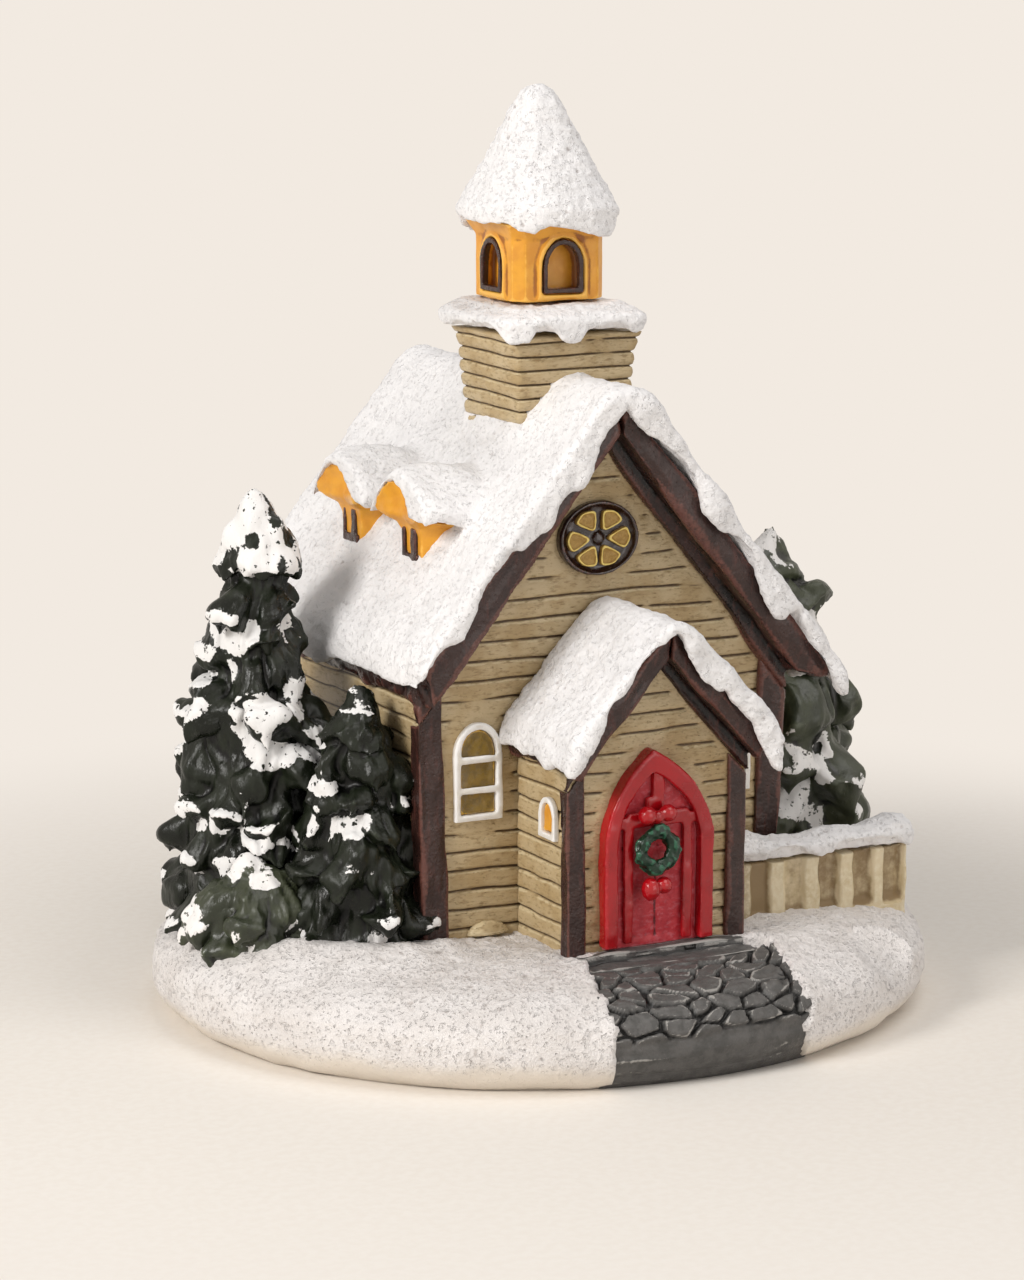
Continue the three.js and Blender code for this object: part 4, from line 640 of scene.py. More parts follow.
def addWall(spec):
    low, high, board, seed = spec["bottomZ"], spec["apexZ"], spec["board"], spec["seed"]
    count = int((high - 0.25 - low) / board) + 1
    rows = [k + place for k in range(count) for place in boardPlaces]
    rows = np.array([row for row in rows if low + row * board < high - 0.25])
    columns = spec["columns"]
    share = np.concatenate([np.arange(n) / n for n in columns])
    side = np.repeat(np.arange(len(columns)), columns)
    total = len(share)
    flatZ = low + rows * board
    plan = wallPlan(spec, flatZ)
    start, end = plan[:, side], plan[:, (side + 1) % 4]
    base = np.dstack([start + (end - start) * share[None, :, None], np.repeat(flatZ[:, None], total, 1)])
    number, place = np.floor(rows), (rows - np.floor(rows))[:, None]

    def grooveNoise(k, spread, size, fineSize, fineShare, seed):  # follows groove k round the walls
        lane = np.repeat(k[:, None] * spread, total, 1)
        spot = np.stack([base[..., 0].ravel(), base[..., 1].ravel(), lane.ravel()], 1)
        return (drift(spot, size, seed) + fineShare * drift(spot, fineSize, seed + 1)).reshape(len(k), total)

    def level(k):  # how far groove k leaves its level
        return spec["wobble"] * grooveNoise(k, 5.1, 11.0, 3.0, 0.4, seed)

    def cut(k):  # how deep groove k is cut
        return ease(-1.15, -0.55, grooveNoise(k, 9.7, 4.6, 1.4, 0.35, seed + 2))

    points = base.copy()
    points[..., 2] += level(number) * (1 - place) + level(number + 1) * place
    points[..., 2] = np.clip(points[..., 2], low, high - 0.2)
    points[0, :, 2] = low
    quiet = plainBoards(spec, points)
    below, above = cut(number) * (1 - quiet), cut(number + 1) * (1 - quiet)
    # shade: the dark line under each board's lip, cut in and also painted as shade through the hollow mask;
    # lit: a painted highlight along the board edges that catch the light
    shade = below * ridge(0, 0.055, place) + above * ridge(1, 0.085, place)
    lit = above * ridge(0.86, 0.07, place) + 0.6 * below * ridge(0.15, 0.06, place)
    spot = points.reshape(-1, 3)
    skin = 0.16 * drift(spot, 7.0, seed + 4) + 0.07 * drift(spot * np.array([0.5, 0.5, 2.0]), 1.3, seed + 5)
    skin = (skin + 0.045 * drift(spot * np.array([0.6, 0.6, 2.4]), 0.7, seed + 6)).reshape(len(rows), total)
    boarded = spec["lap"] * (1 - 2 * place) + spec["belly"] * np.sin(np.pi * place)
    height = skin + (1 - quiet) * boarded - spec["groove"] * shade + 0.12 * quiet
    quads = ringQuads(len(rows), total)
    outward = normalsOf(base.reshape(-1, 3), quads) * np.array([1, 1, 0])
    outward /= np.maximum(np.linalg.norm(outward, axis=1, keepdims=True), 1e-9)
    # raised: dry brush on the skin's high spots plus the painted highlight of the lit edges; hollow: the
    # painted shade line
    raised = ease(0.05, 0.25, skin.ravel()) * 0.45 + lit.ravel() * 0.85
    masks = {"hollow": np.clip(shade.ravel() * 1.15, 0, 1), "raised": np.clip(raised, 0, 1)}
    ends = [np.arange(total)[::-1], np.arange(total) + (len(rows) - 1) * total]
    moved = spot + outward * height.reshape(-1, 1)
    addPiece(spec["name"], moved, quads, "siding", [spec["node"]], masks, ends)


for spec in walls.values():
    addWall(spec)
print("boarded walls:", len(walls))

# snow mound, path and steps
mound = dict(
    halfWidth=50.5, halfDepth=47.5, footInset=3.6, height=12.0, columns=600, rows=132, seed=41,
    # snow banked up against the trees, at the corner post and on the right shoulder: (x, y, width, height)
    banks=((-45.0, 4.0, 4.5, 1.5), (-42.5, -3.0, 4.5, 1.5), (-38.5, -9.5, 4.5, 1.6), (-33.0, -15.0, 4.5, 1.6),
           (-27.0, -18.0, 4.0, 1.4), (-21.5, -17.0, 2.6, 0.9), (44.0, -14.0, 7.0, 0.8)),
    # a scooped dent with a crescent lip on its right
    dent=dict(middle=(30.5, -35.5, 9.5), lipFrom=29, lipOut=6.4, lipWidth=0.8, lip=0.75, sunk=1.0),
)
path = dict(
    backLeft=-9.2, backRight=15.6, frontLeft=-13.6, frontRight=12.4, backY=-30.0, frontY=-47.5, sunk=0.9,
    rows=300, columns=150, reachFrom=29.0, overlap=0.06, stones=3.1, thick=1.4,
    rimLength=(8.6, 7.4), topLength=(23.2, 24.4),  # mm up the side to the rim's end and the last slab
)
steps = dict(voxel=0.24, treadY=(-29.8, -26.0), treadZ=12.25, sideX=(-9.9, 13.3))
depthShare = mound["halfDepth"] / mound["halfWidth"]


def moundProfile(count):  # (distance out, height) from the foot to the middle, and the length so far
    w, high = mound["halfWidth"], mound["height"]
    knots = np.array([
        [w - mound["footInset"], 0], [w - 2.3, 0.7], [w - 1.0, 2.0], [w - 0.1, 3.75], [w - 0.1, 5.75],
        [w - 0.95, 8.1], [0.92 * w, 10.1], [0.82 * w, 11.25], [0.64 * w, 11.85], [0.3 * w, high], [0, high],
    ])
    fine = []
    for k in range(len(knots) - 1):  # a smooth curve through the knots
        a, b = knots[k], knots[k + 1]
        before = knots[k - 1] if k else a
        after = knots[k + 2] if k + 2 < len(knots) else b
        square, cube = 2 * before - 5 * a + 4 * b - after, 3 * a - before - 3 * b + after
        for t in np.linspace(0, 1, 30, endpoint=False):
            fine.append(0.5 * (2 * a + (b - before) * t + square * t**2 + cube * t**3))
    fine = np.array(fine + [knots[-1]])
    length = np.concatenate([[0], np.cumsum(np.linalg.norm(np.diff(fine, axis=0), axis=1))])
    even = np.linspace(0, length[-1], count)
    return np.stack([np.interp(even, length, fine[:, k]) for k in (0, 1)], 1), even


def pathEdges(y):  # the path's left and right edge at each y
    t = (y - path["backY"]) / (path["frontY"] - path["backY"])
    ends = [(path["back" + side], path["front" + side]) for side in ("Left", "Right")]
    return [back + (front - back) * t for back, front in ends]


def moundShare(x, y):  # 1 on the mound's outline, seen from above
    return np.sqrt((x / mound["halfWidth"]) ** 2 + (y / mound["halfDepth"]) ** 2)


def addMound():
    profile = moundProfile(mound["rows"])[0][:-1]
    columns = mound["columns"]
    turn = np.arange(columns) / columns * 2 * math.pi
    x, y = np.outer(profile[:, 0], np.cos(turn)), np.outer(profile[:, 0], np.sin(turn)) * depthShare
    points = np.stack([x, y, np.repeat(profile[:, 1:], columns, 1)], -1).reshape(-1, 3)
    quads = ringQuads(len(profile), columns)
    normals = normalsOf(points, quads)
    x, y, low = points.T
    smooth = 1 - ease(1.6, 4.4, low + 0.7 * drift(points, 6.0, 44))
    bank = np.zeros(len(points))
    for middleX, middleY, wide, high in mound["banks"]:
        bank += high * np.exp(-(((x - middleX) ** 2 + (y - middleY) ** 2) / wide**2))
    moved, hollow = snowRelief(points, normals, 0.9, mound["seed"], smooth * 0.85, 1.25)
    moved[:, 2] += bank * ease(5.0, 10.0, low) * ease(1.0, 0.965, moundShare(x, y))
    left, right = pathEdges(y)
    ragged = 0.9 * drift(points, 2.4, 45) + 0.55 * drift(points, 0.9, 46)
    inside = ease(-0.25, 0.25, np.minimum(x - left, right - x) + ragged * ease(2.5, 5.0, low))
    inside = inside * ease(-29.0, -30.5, y)
    beside = ridge(0, 2.2, np.minimum(np.abs(x - left), np.abs(x - right))) * (1 - inside) * (y < -27)
    moved = moved + normals * ((0.25 * beside * ease(2, 6, low)) - 2.0 * inside)[:, None]
    dent = mound["dent"]
    away = np.linalg.norm((points - np.array(dent["middle"])) * np.array([1, 1, 1.3]), axis=1)
    lip = dent["lip"] * ridge(dent["lipOut"], dent["lipWidth"], away) * (x > dent["lipFrom"])
    moved = moved + normals * (lip - dent["sunk"] * (1 - ease(2.0, 6.0, away)))[:, None]
    moved[:columns, 2] = 0.0
    moved[:, 2] = np.maximum(moved[:, 2], 0.0)
    moved[:, :2] /= np.maximum(moundShare(moved[:, 0], moved[:, 1]), 1.0)[:, None]
    ends = [np.arange(columns)[::-1], np.arange(columns) + (len(profile) - 1) * columns]
    masks = {"hollow": hollow, "band": smooth}
    addPiece("snowMound", moved, quads, "moundSnow", ["snow_base"], masks, ends)


def addPath():
    profile, length = moundProfile(path["rows"])
    reach = profile[:, 0] > path["reachFrom"]
    profile, length = profile[reach], length[reach]
    columns = path["columns"]
    share = np.linspace(-path["overlap"], 1 + path["overlap"], columns)
    rows = []
    for out, z in profile:
        y = np.full(columns, -out * depthShare)
        for k in range(4):  # the edges depend on y, and y on the mound's curve at x
            left, right = pathEdges(y)
            x = left + (right - left) * share
            y = -np.sqrt(np.maximum(1 - (x / out) ** 2, 0.0)) * out * depthShare
        rows.append(np.stack([x, y, np.full(columns, z)], 1))
    points = np.array(rows).reshape(-1, 3)
    quads = ringQuads(len(profile), columns, closed=False)
    length = np.repeat(length, columns)
    flat = np.stack([points[:, 0], length, np.zeros(len(length))], 1)

    def noise(size, seed, stretch=(1, 1, 1)):
        return drift(flat * np.array(stretch), size, seed)

    bent = flat + 0.7 * np.stack([noise(4.0, 61), noise(4.0, 62), np.zeros(len(flat))], 1)
    first, second, number = seeds(bent * np.array([0.8, 1.1, 1]), path["stones"], 63, 0.85)
    gap = second - first + 0.16 * noise(0.8, 64)
    rim = ease(*path["rimLength"], length + 0.5 * noise(3.0, 65))
    top = ease(*path["topLength"], length + 0.5 * noise(3.0, 58))
    stone = ease(0.2, 0.62, gap)
    strata = 0.4 * noise(0.9, 70, (0.12, 1, 1)) + 0.2 * noise(0.45, 59, (0.2, 1, 1))
    wear = 0.16 * noise(1.3, 66) + 0.09 * noise(0.6, 67)
    cobbled = 0.85 * stone + (number - 0.5) * 0.45 * stone + wear
    torn = ease(0.88, 0.99, np.tile(share, len(profile)) + 0.07 * noise(1.2, 54))
    torn = torn * ease(0.0, 0.4, noise(1.5, 55)) * (1 - rim)
    strokes = 0.14 * noise(0.7, 56, (0.12, 1, 1))
    height = (1 - rim) * (cobbled * (1 - top) + (0.5 + strata) * top) + rim * (0.42 + strokes) - 0.35 * torn
    moved = points + normalsOf(points, quads) * (height - path["sunk"] - 0.15)[:, None]
    moved[:, 2] = np.maximum(moved[:, 2], 0.0)
    joints = (1 - ease(0.22, 0.6, gap)) * (1 - top) + ease(0.05, 0.4, -strata) * top
    brushed = 0.7 * ridge(0.78, 0.2, gap) + 0.4 * ease(0.0, 0.5, noise(1.6, 69)) * stone
    brushed = brushed * (1 - top) + 0.7 * ease(0.0, 0.4, strata) * top
    brushed = np.clip(brushed, 0, 1) * (1 - rim * 0.6) * (1 - torn)
    masks = {
        "hollow": np.clip(joints * (1 - rim) + torn, 0, 1),
        "raised": brushed + 0.6 * rim * ease(0.04, 0.12, strokes),
    }
    under = moved - np.array([0, -1.0, path["thick"]])
    under[:, 2] = np.maximum(under[:, 2], 0.0)
    loop = borderLoop(len(profile), columns)
    following = np.roll(loop, -1)
    count = len(moved)
    sides = np.stack([following, loop, loop + count, following + count], 1)
    quads = np.concatenate([quads, quads[:, ::-1] + count, sides])
    masks = {key: np.concatenate([value, value]) for key, value in masks.items()}
    addPiece("cobblePath", np.concatenate([moved, under]), quads, "stone", ["cobble_path"], masks)


def addSteps():
    points, quads = recast(cadShape("door_steps"), steps["voxel"], 2)
    normals = normalsOf(points, quads)
    front, back = steps["treadY"]
    tread = (points[:, 1] < back) & (points[:, 1] > front) & (normals[:, 2] > 0.4)
    points[tread, 2] = np.maximum(points[tread, 2], steps["treadZ"])
    strata = points * np.array([0.25, 0.6, 2.2])
    height = 0.2 * drift(strata, 1.5, 71) + 0.14 * drift(strata, 0.8, 72) + 0.2 * drift(points, 3.5, 73)
    left, right = steps["sideX"]
    sides = ease(4.0, 0.5, np.minimum(points[:, 0] - left, right - points[:, 0]))
    height += sides * (0.3 * drift(points, 1.4, 74) - 0.15)
    points = points + normals * height[:, None]
    addPiece("doorSteps", points, quads, "stone", ["door_steps"], edgeMasks(points, quads, 5, 0.13))


addMound()
addPath()
addSteps()
print("mound, path and steps made")

# roof snow, dormers and carved boards
roofMiddleX, mainSlope, porchSlope = 1.9, 1.25, 1.1
# drops: (distance from the ridge, how far the front edge hangs down); hangs: (y, the eave's lower edge)
roofSnow = dict(
    main=dict(name="roofSnow", nodes=["roof_snow", "dormer_snow_near", "dormer_snow_far"],
              apexZ=83.5, rearSink=1.0, slope=mainSlope, ridge=4.6, left=28.3, right=32.0, deckLeft=26.7,
              deckRight=30.4, frontY=-19.8, backY=39.3, lip=1.7, under=3.2, voxel=0.43, rounds=6, seed=81,
              leftDrops=((0, 5.2), (3.4, 5.2), (4.9, 7.0), (6.3, 7.1), (8.4, 5.0), (9.9, 4.3), (10.6, 6.2),
                         (12.1, 5.8), (14.5, 4.4), (15.4, 2.6), (16.6, 1.2), (18.4, 1.2), (20.2, 1.6),
                         (21.1, 3.6), (22.4, 4.4), (24.4, 2.6), (25.6, 1.5), (27.2, 1.9), (28.3, 2.2)),
              rightDrops=((0, 5.2), (2.6, 5.6), (7.1, 3.0), (8.4, 3.6), (10.5, 3.7), (11.0, 5.2), (13.2, 5.2),
                          (15.8, 3.3), (18.0, 2.6), (18.9, 4.8), (19.8, 6.1), (21.2, 6.9), (22.6, 5.6),
                          (24.4, 1.9), (25.7, 3.0), (27.9, 4.0), (30.2, 4.7), (32.0, 4.6)),
              leftHangs=((-19.8, 47.0), (-18.8, 46.5), (-11.5, 44.9), (-5.7, 45.3), (0.8, 45.8), (6.0, 44.9),
                         (11.2, 43.3), (19.4, 44.3), (25.0, 45.4), (31.0, 43.9), (39.3, 45.3)),
              rightHangs=((-19.8, 40.0), (-14.0, 41.2), (-7.0, 39.4), (0.0, 41.0), (8.0, 39.8),
                          (15.0, 41.3), (22.0, 39.6), (30.0, 41.0), (39.3, 40.2))),
    porch=dict(name="porchRoofSnow", nodes=["porch_roof_snow"],
               apexZ=55.3, rearSink=0.0, slope=porchSlope, ridge=3.2, left=14.7, right=14.5, deckLeft=13.4,
               deckRight=13.2, frontY=-32.9, backY=-13.3, lip=1.7, under=2.8, voxel=0.3, rounds=5, seed=91,
               leftDrops=((0, 3.2), (2.2, 2.2), (3.1, 1.7), (4.3, 1.5), (7.1, 2.2), (9.2, 1.5), (9.8, 2.6),
                          (10.8, 3.2), (12.4, 3.1), (13.6, 3.6), (14.7, 3.3)),
               rightDrops=((0, 3.2), (1.1, 3.6), (2.1, 5.2), (3.6, 5.9), (5.8, 4.8), (6.6, 3.5), (8.3, 3.8),
                           (10.9, 3.3), (11.8, 5.6), (13.0, 6.2), (14.5, 5.6)),
               leftHangs=((-32.9, 37.8), (-28.5, 36.9), (-26.0, 35.6), (-22.6, 36.7), (-19.4, 35.8),
                          (-16.2, 36.4), (-13.3, 36.2)),
               rightHangs=((-32.9, 35.4), (-27.0, 36.8), (-20.0, 35.8), (-13.3, 36.6))),
)
towerFoot = dict(x=1.6, y=1.8, half=6.9, reach=3.2, rise=1.9)  # snow banked against the tower
dormers = dict(
    y=(-0.2, 17.6), nodes=("near", "far"), mouthX=-20.7, capBackX=-7.0, low=-8.6, high=7.4, apexZ=69.6,
    edgeZ=63.4, wideEdgeZ=64.6, voxel=0.2, slotVoxel=0.15,
    capThick=((-8.6, 1.2), (-6.0, 3.4), (-4.4, 3.9), (-2.6, 2.7), (0, 2.2), (3.4, 1.0), (6.7, 0.8),
              (7.4, 0.7)),
    # the gilt mouth, up into the snow: (z, front x, low y, high y at the front, how far the middle is sunk)
    mouth=((57.3, -18.3, -3.0, 2.5, 0), (61.0, -18.4, -3.0, 2.6, 0), (62.2, -18.8, -3.4, 3.4, 0.2),
           (63.3, -20.4, -5.0, 6.6, 1.3), (64.6, -20.5, -5.2, 6.3, 1.8), (66.2, -20.4, -3.8, 4.8, 1.8),
           (67.4, -20.2, -2.2, 3.0, 1.4)),
    backX=-11.0, cheekTopZ=62.5, cheekSpread=2.8, hoodSpread=-1.6,
    slotX=(-18.75, -17.8),
    slots=((1.2, 1.9, 58.2, 61.8), (-1.9, -0.5, 58.2, 61.9), (-2.4, 1.9, 57.6, 58.6)),  # y and z, from and to
)
mainBoard = dict(voxel=0.36, apexZ=74.5, slope=mainSlope, high=4.9, rearSink=1.3)
porchBoard = dict(voxel=0.28, apexZ=48.7, slope=porchSlope, high=3.6, rearSink=0.0)
boards = (
    dict(name="roofBoardLeft", node="roof_deck_left", lean=-1, lift=2.2, **mainBoard),
    dict(name="roofBoardRight", node="roof_deck_right", lean=1, lift=1.2, **mainBoard),
    dict(name="porchBoardLeft", node="porch_deck_left", lean=-1, lift=1.6, **porchBoard),
    dict(name="porchBoardRight", node="porch_deck_right", lean=1, lift=0.6, **porchBoard),
)


def dormerCap(middleY):  # a thick hood of snow that sags on its near side and runs back into the roof
    spec = dormers
    mouthX = spec["mouthX"]
    x = np.concatenate([mouthX + np.array([0, 0.4]), np.linspace(mouthX + 1, spec["capBackX"], 26)])
    x, y = np.meshgrid(x, np.linspace(spec["low"], spec["high"], 36), indexing="ij")
    edgeZ = np.where(y > 0, spec["edgeZ"], spec["wideEdgeZ"])
    reach = np.where(y > 0, spec["high"], spec["low"])
    top = spec["apexZ"] - (spec["apexZ"] - edgeZ) * np.abs(y / reach) ** 1.9
    foot = top - knotValue(y, spec["capThick"]) + 0.35 * np.sin(x * 1.3 + middleY) * ease(-2.0, -5.0, y)
    top = top - 0.7 * ease(mouthX + 0.9, mouthX, x) + 0.3 * np.sin(x * 0.7 + y * 0.5)
    return closedSheet(x, y + middleY, top, np.minimum(foot, top - 0.7))


def snowSheet(spec):  # a sheet over both slopes that hangs in lobes over the rakes and eaves
    front, back, lip = spec["frontY"], spec["backY"], spec["lip"]
    x = np.linspace(-spec["left"] + 0.25, spec["right"] - 0.25, 150)
    x = np.concatenate([[-spec["left"]], x, [spec["right"]]])
    y = np.linspace(front + lip + 0.15, back - lip, 44)
    y = np.concatenate([front + np.array([0, 0.3, 1.0, lip]), y, back - np.array([1.0, 0.3, 0])])
    x, y = np.meshgrid(x, y, indexing="ij")
    far, atLeft = np.abs(x), x < 0
    line = spec["apexZ"] - spec["slope"] * far
    top = line - 0.5 * spec["slope"] * spec["ridge"] * np.clip(1 - far / spec["ridge"], 0, 1) ** 2
    end = np.where(atLeft, spec["left"], spec["right"])
    deck = np.where(atLeft, spec["deckLeft"], spec["deckRight"])
    drop = np.where(atLeft, knotValue(far, spec["leftDrops"]), knotValue(far, spec["rightDrops"]))
    rearDrop = knotValue((far * 1.3 + 4) % (spec["left"] * 0.97), spec["rightDrops"])
    inRear = (y > back - lip + 0.05) & (back > 0)  # the porch roof has no free rear edge
    foot = line - np.where(y < front + lip, drop, np.where(inRear, rearDrop, spec["under"]))
    hang = np.where(atLeft, knotValue(y, spec["leftHangs"]), knotValue(y, spec["rightHangs"]))
    foot = np.where(far > deck + 0.2, np.minimum(foot, hang), foot)
    top = top - 1.6 * np.clip((far - end + 1.1) / 1.1, 0, 1) ** 2 - spec["rearSink"] * ease(13.0, 27.0, y)
    top = top - 0.9 * np.clip(front + 1.0 - y, 0, 1) ** 2
    return closedSheet(x + roofMiddleX, y, top, np.minimum(foot, top - 0.5))


def addRoofSnow():
    for key, spec in roofSnow.items():
        main = key == "main"
        hoods = [dormerCap(y) for y in dormers["y"]] if main else []
        points, quads = recast([snowSheet(spec)] + hoods, spec["voxel"], spec["rounds"])
        normals = normalsOf(points, quads)
        if main:
            away = np.maximum(np.abs(points[:, 0] - towerFoot["x"]), np.abs(points[:, 1] - towerFoot["y"]))
            bank = np.clip(1 - (away - towerFoot["half"]) / towerFoot["reach"], 0, 1) ** 2
            bank = bank * (normals[:, 2] > 0.1) * (0.8 + 0.5 * drift(points, 3.0, 82))
            points[:, 2] += towerFoot["rise"] * bank
        nearFront = ease(spec["frontY"] + 5.5, spec["frontY"] + 2.0, points[:, 1])
        points = points + normals * (0.55 * drift(points, 4.2, spec["seed"] + 11) * nearFront)[:, None]
        moved, hollow = snowRelief(points, normalsOf(points, quads), 1.0, spec["seed"])
        addPiece(spec["name"], moved, quads, "snow", spec["nodes"], {"hollow": hollow})


def dormerBody(middleY):
    spec = dormers
    body = []
    for z, front, low, high, sunk in spec["mouth"]:
        spread = spec["cheekSpread"] if z < spec["cheekTopZ"] else spec["hoodSpread"]
        outline = [(front, low), (spec["backX"], low - spread), (spec["backX"], high + spread), (front, high),
                   (front + sunk, (low + high) / 2)]
        body += [(x, y + middleY, z) for x, y in outline]
    return np.array(body), tubeFaces(len(spec["mouth"]), len(outline))


def addDormers():
    for middleY, place in zip(dormers["y"], dormers["nodes"]):
        points, quads = recast([dormerBody(middleY)], dormers["voxel"], 8)
        points = uneven(points, quads, 141, (2.6, 0.16), (0.9, 0.06))
        masks = edgeMasks(points, quads, 8, 0.16)
        addPiece("dormer" + place.title(), points, quads, "honey", ["dormer_" + place], masks)
        slots = [boxShape(dormers["slotX"], (middleY + low, middleY + high), (foot, top))
                 for low, high, foot, top in dormers["slots"]]
        points, quads = recast(slots, dormers["slotVoxel"], 3)
        points = uneven(points, quads, 143, (1.1, 0.1))
        masks = edgeMasks(points, quads, 5, 0.1)
        name, node = "dormerWindow" + place.title(), "dormer_window_" + place
        addPiece(name, points, quads, "trim", [node], masks)
    print("dormers made:", len(dormers["y"]))


def addBoards():
    tilt = math.atan(mainSlope)
    for spec in boards:
        shape, faces = cadShape(spec["node"])[0]
        side = np.abs(shape[:, 0] - roofMiddleX)
        line = spec["apexZ"] - spec["slope"] * side + spec["high"]
        upper = (shape[:, 1] < shape[:, 1].min() + 1.0) & (shape[:, 2] > line - 1.3)
        shape[upper, 2] += np.where(side[upper] < 3, 0.4, spec["lift"])
        shape[:, 2] -= spec["rearSink"] * (shape[:, 1] > 10) * (shape[:, 2] > line - 2.5)
        points, quads = recast([(shape, faces)], spec["voxel"], 2)
        x, y, z = points.T
        down, out = spec["lean"] * math.cos(tilt), -math.sin(tilt)
        turned = np.stack([x * down + z * out, y, -x * out + z * down], 1)  # x runs down the board
        grain = turned * np.array([0.15, 1.0, 1.0])
        height = 0.42 * drift(grain, 1.7, 121) + 0.24 * drift(grain, 0.85, 122)
        height += 0.2 * drift(turned, 5.0, 123)
        points = points + normalsOf(points, quads) * height[:, None]
        masks = edgeMasks(points, quads, 6, 0.16)
        addPiece(spec["name"], points, quads, "trim", [spec["node"]], masks)


addRoofSnow()
addDormers()
addBoards()
print("roofs made")

# snow on the tower and spire
# a ring is (share of the reach, height, whether that height is over the snow's lower edge)
# front and left are (x or y along that side, height of the snow's lower edge)
towerSnow = dict(
    ledge=dict(name="towerSnowLedge", node="tower_snow_ledge", x=1.1, y=1.8, half=10.75, square=7,
               voxel=0.27, rounds=3, lower=0.45, seed=97,
               rings=((0.8, 86.3, 0), (0.87, 86.35, 0), (0.93, 0.1, 1), (0.985, 0.35, 1), (1.0, 87.3, 0),
                      (0.985, 87.9, 0), (0.93, 88.35, 0), (0.83, 88.8, 0), (0.76, 89.25, 0), (0.5, 89.4, 0)),
               front=((-9.3, 84.8), (-6.1, 85.3), (-5.2, 87.1), (-3.8, 87.4), (-2.6, 86.7), (-1.4, 85.4),
                      (0, 84.8), (1, 85.1), (2.2, 86.6), (5, 87.2), (7.8, 87.1), (9, 86.1), (9.8, 85.9),
                      (11.4, 86.3)),
               left=((-8.6, 84.9), (-7.6, 85.2), (-5.6, 86.7), (-3.3, 87.3), (-0.9, 87.3), (2.3, 86.8),
                     (3.9, 87.2), (6.3, 87.0), (8.8, 86.2), (10.4, 87.0), (12.2, 86.9))),
    spire=dict(name="spireSnow", node="spire_snow", x=0.4, y=1.8, half=9.5, square=2.9, voxel=0.3, rounds=2,
               lower=0.1, seed=103,
               rings=((0.8, 99.8, 0), (0.9, 0.25, 1), (0.985, 0.1, 1), (1.0, 0.9, 1), (0.985, 101.2, 0),
                      (0.92, 102.2, 0), (0.775, 104.5, 0), (0.57, 108.2, 0), (0.4, 111.6, 0), (0.3, 113.9, 0),
                      (0.2, 115.5, 0), (0.09, 116.2, 0)),
               front=((-9, 98.6), (-6.6, 98.5), (-4.8, 98.4), (-2.5, 99.2), (-0.1, 98.9), (2.3, 98.2),
                      (4.7, 97.6), (6.3, 97.5), (7.7, 98.1), (9.8, 98.5)),
               left=((-7.6, 98.7), (-5.8, 99.6), (-0.3, 99.3), (3.6, 99.5), (6.8, 100.1), (11.2, 99.6))),
)
gardenWall = dict(
    x=(15.2, 43.3), y=(-20.3, -17.1), z=(8.0, 18.6), voxel=0.26, seed=131, bendFrom=41.5, bend=0.5,
    panels=((16.0, 1.5, 0.8), (21.1, 1.5, 0.8), (26.2, 1.5, 0.6), (31.35, 1.55, 1.15), (36.5, 1.55, 1.15),
            (41.2, 1.7, 1.15)),  # middle, half width, depth
)
gardenWallSnow = dict(
    x=(15.1, 44.3), middleY=-18.7, undersideZ=19.2, columns=90, voxel=0.27, seed=135,
    top=((15.1, 22.6), (19.8, 22.8), (22.3, 21.9), (25.3, 21.7), (28.2, 21.7), (30.2, 22.0), (32.7, 22.1),
         (35.2, 21.7), (37.3, 21.9), (39.3, 22.4), (41.3, 22.9), (43.3, 22.5), (44.3, 21.3)),
    foot=((15.1, 19.9), (18.5, 19.7), (21.5, 19.6), (23.9, 20.6), (25.9, 20.4), (27.9, 19.2), (29.9, 18.3),
          (31.4, 19.0), (32.8, 20.2), (35.8, 20.1), (38.4, 19.9), (40.9, 19.6), (43.0, 18.2), (44.3, 18.4)),
)


def snowCap(spec, columns=160):  # rings of a rounded square
    turn = np.arange(columns) / columns * 2 * math.pi
    across, along = np.cos(turn), np.sin(turn)
    square, middleX, middleY = spec["square"], spec["x"], spec["y"]
    reach = spec["half"] / (np.abs(across) ** square + np.abs(along) ** square) ** (1 / square)
    x, y = middleX + across * reach, middleY + along * reach
    frontRim, leftRim = knotValue(x, spec["front"]), knotValue(y, spec["left"])
    backRim = knotValue(2 * middleX - x + 0.9, spec["front"])
    rightRim = knotValue(2 * middleY - y - 1.2, spec["left"])
    onEnds = ease(-0.12, 0.12, np.abs(along) - np.abs(across))
    rim = -spec["lower"] + onEnds * np.where(along < 0, frontRim, backRim)
    rim = rim + (1 - onEnds) * np.where(across < 0, leftRim, rightRim)
    rows = []
    for share, z, overRim in spec["rings"]:
        height = rim + z if overRim else np.full(columns, z)
        rows.append(np.stack([middleX + (x - middleX) * share, middleY + (y - middleY) * share, height], 1))
    return np.concatenate(rows), tubeFaces(len(rows), columns)


def addTowerSnow():
    for spec in towerSnow.values():
        points, quads = recast([snowCap(spec)], spec["voxel"], spec["rounds"])
        moved, hollow = snowRelief(points, normalsOf(points, quads), 0.8, spec["seed"], 0.0, 1.1)
        addPiece(spec["name"], moved, quads, "snow", [spec["node"]], {"hollow": hollow})
    print("tower snow made:", len(towerSnow))


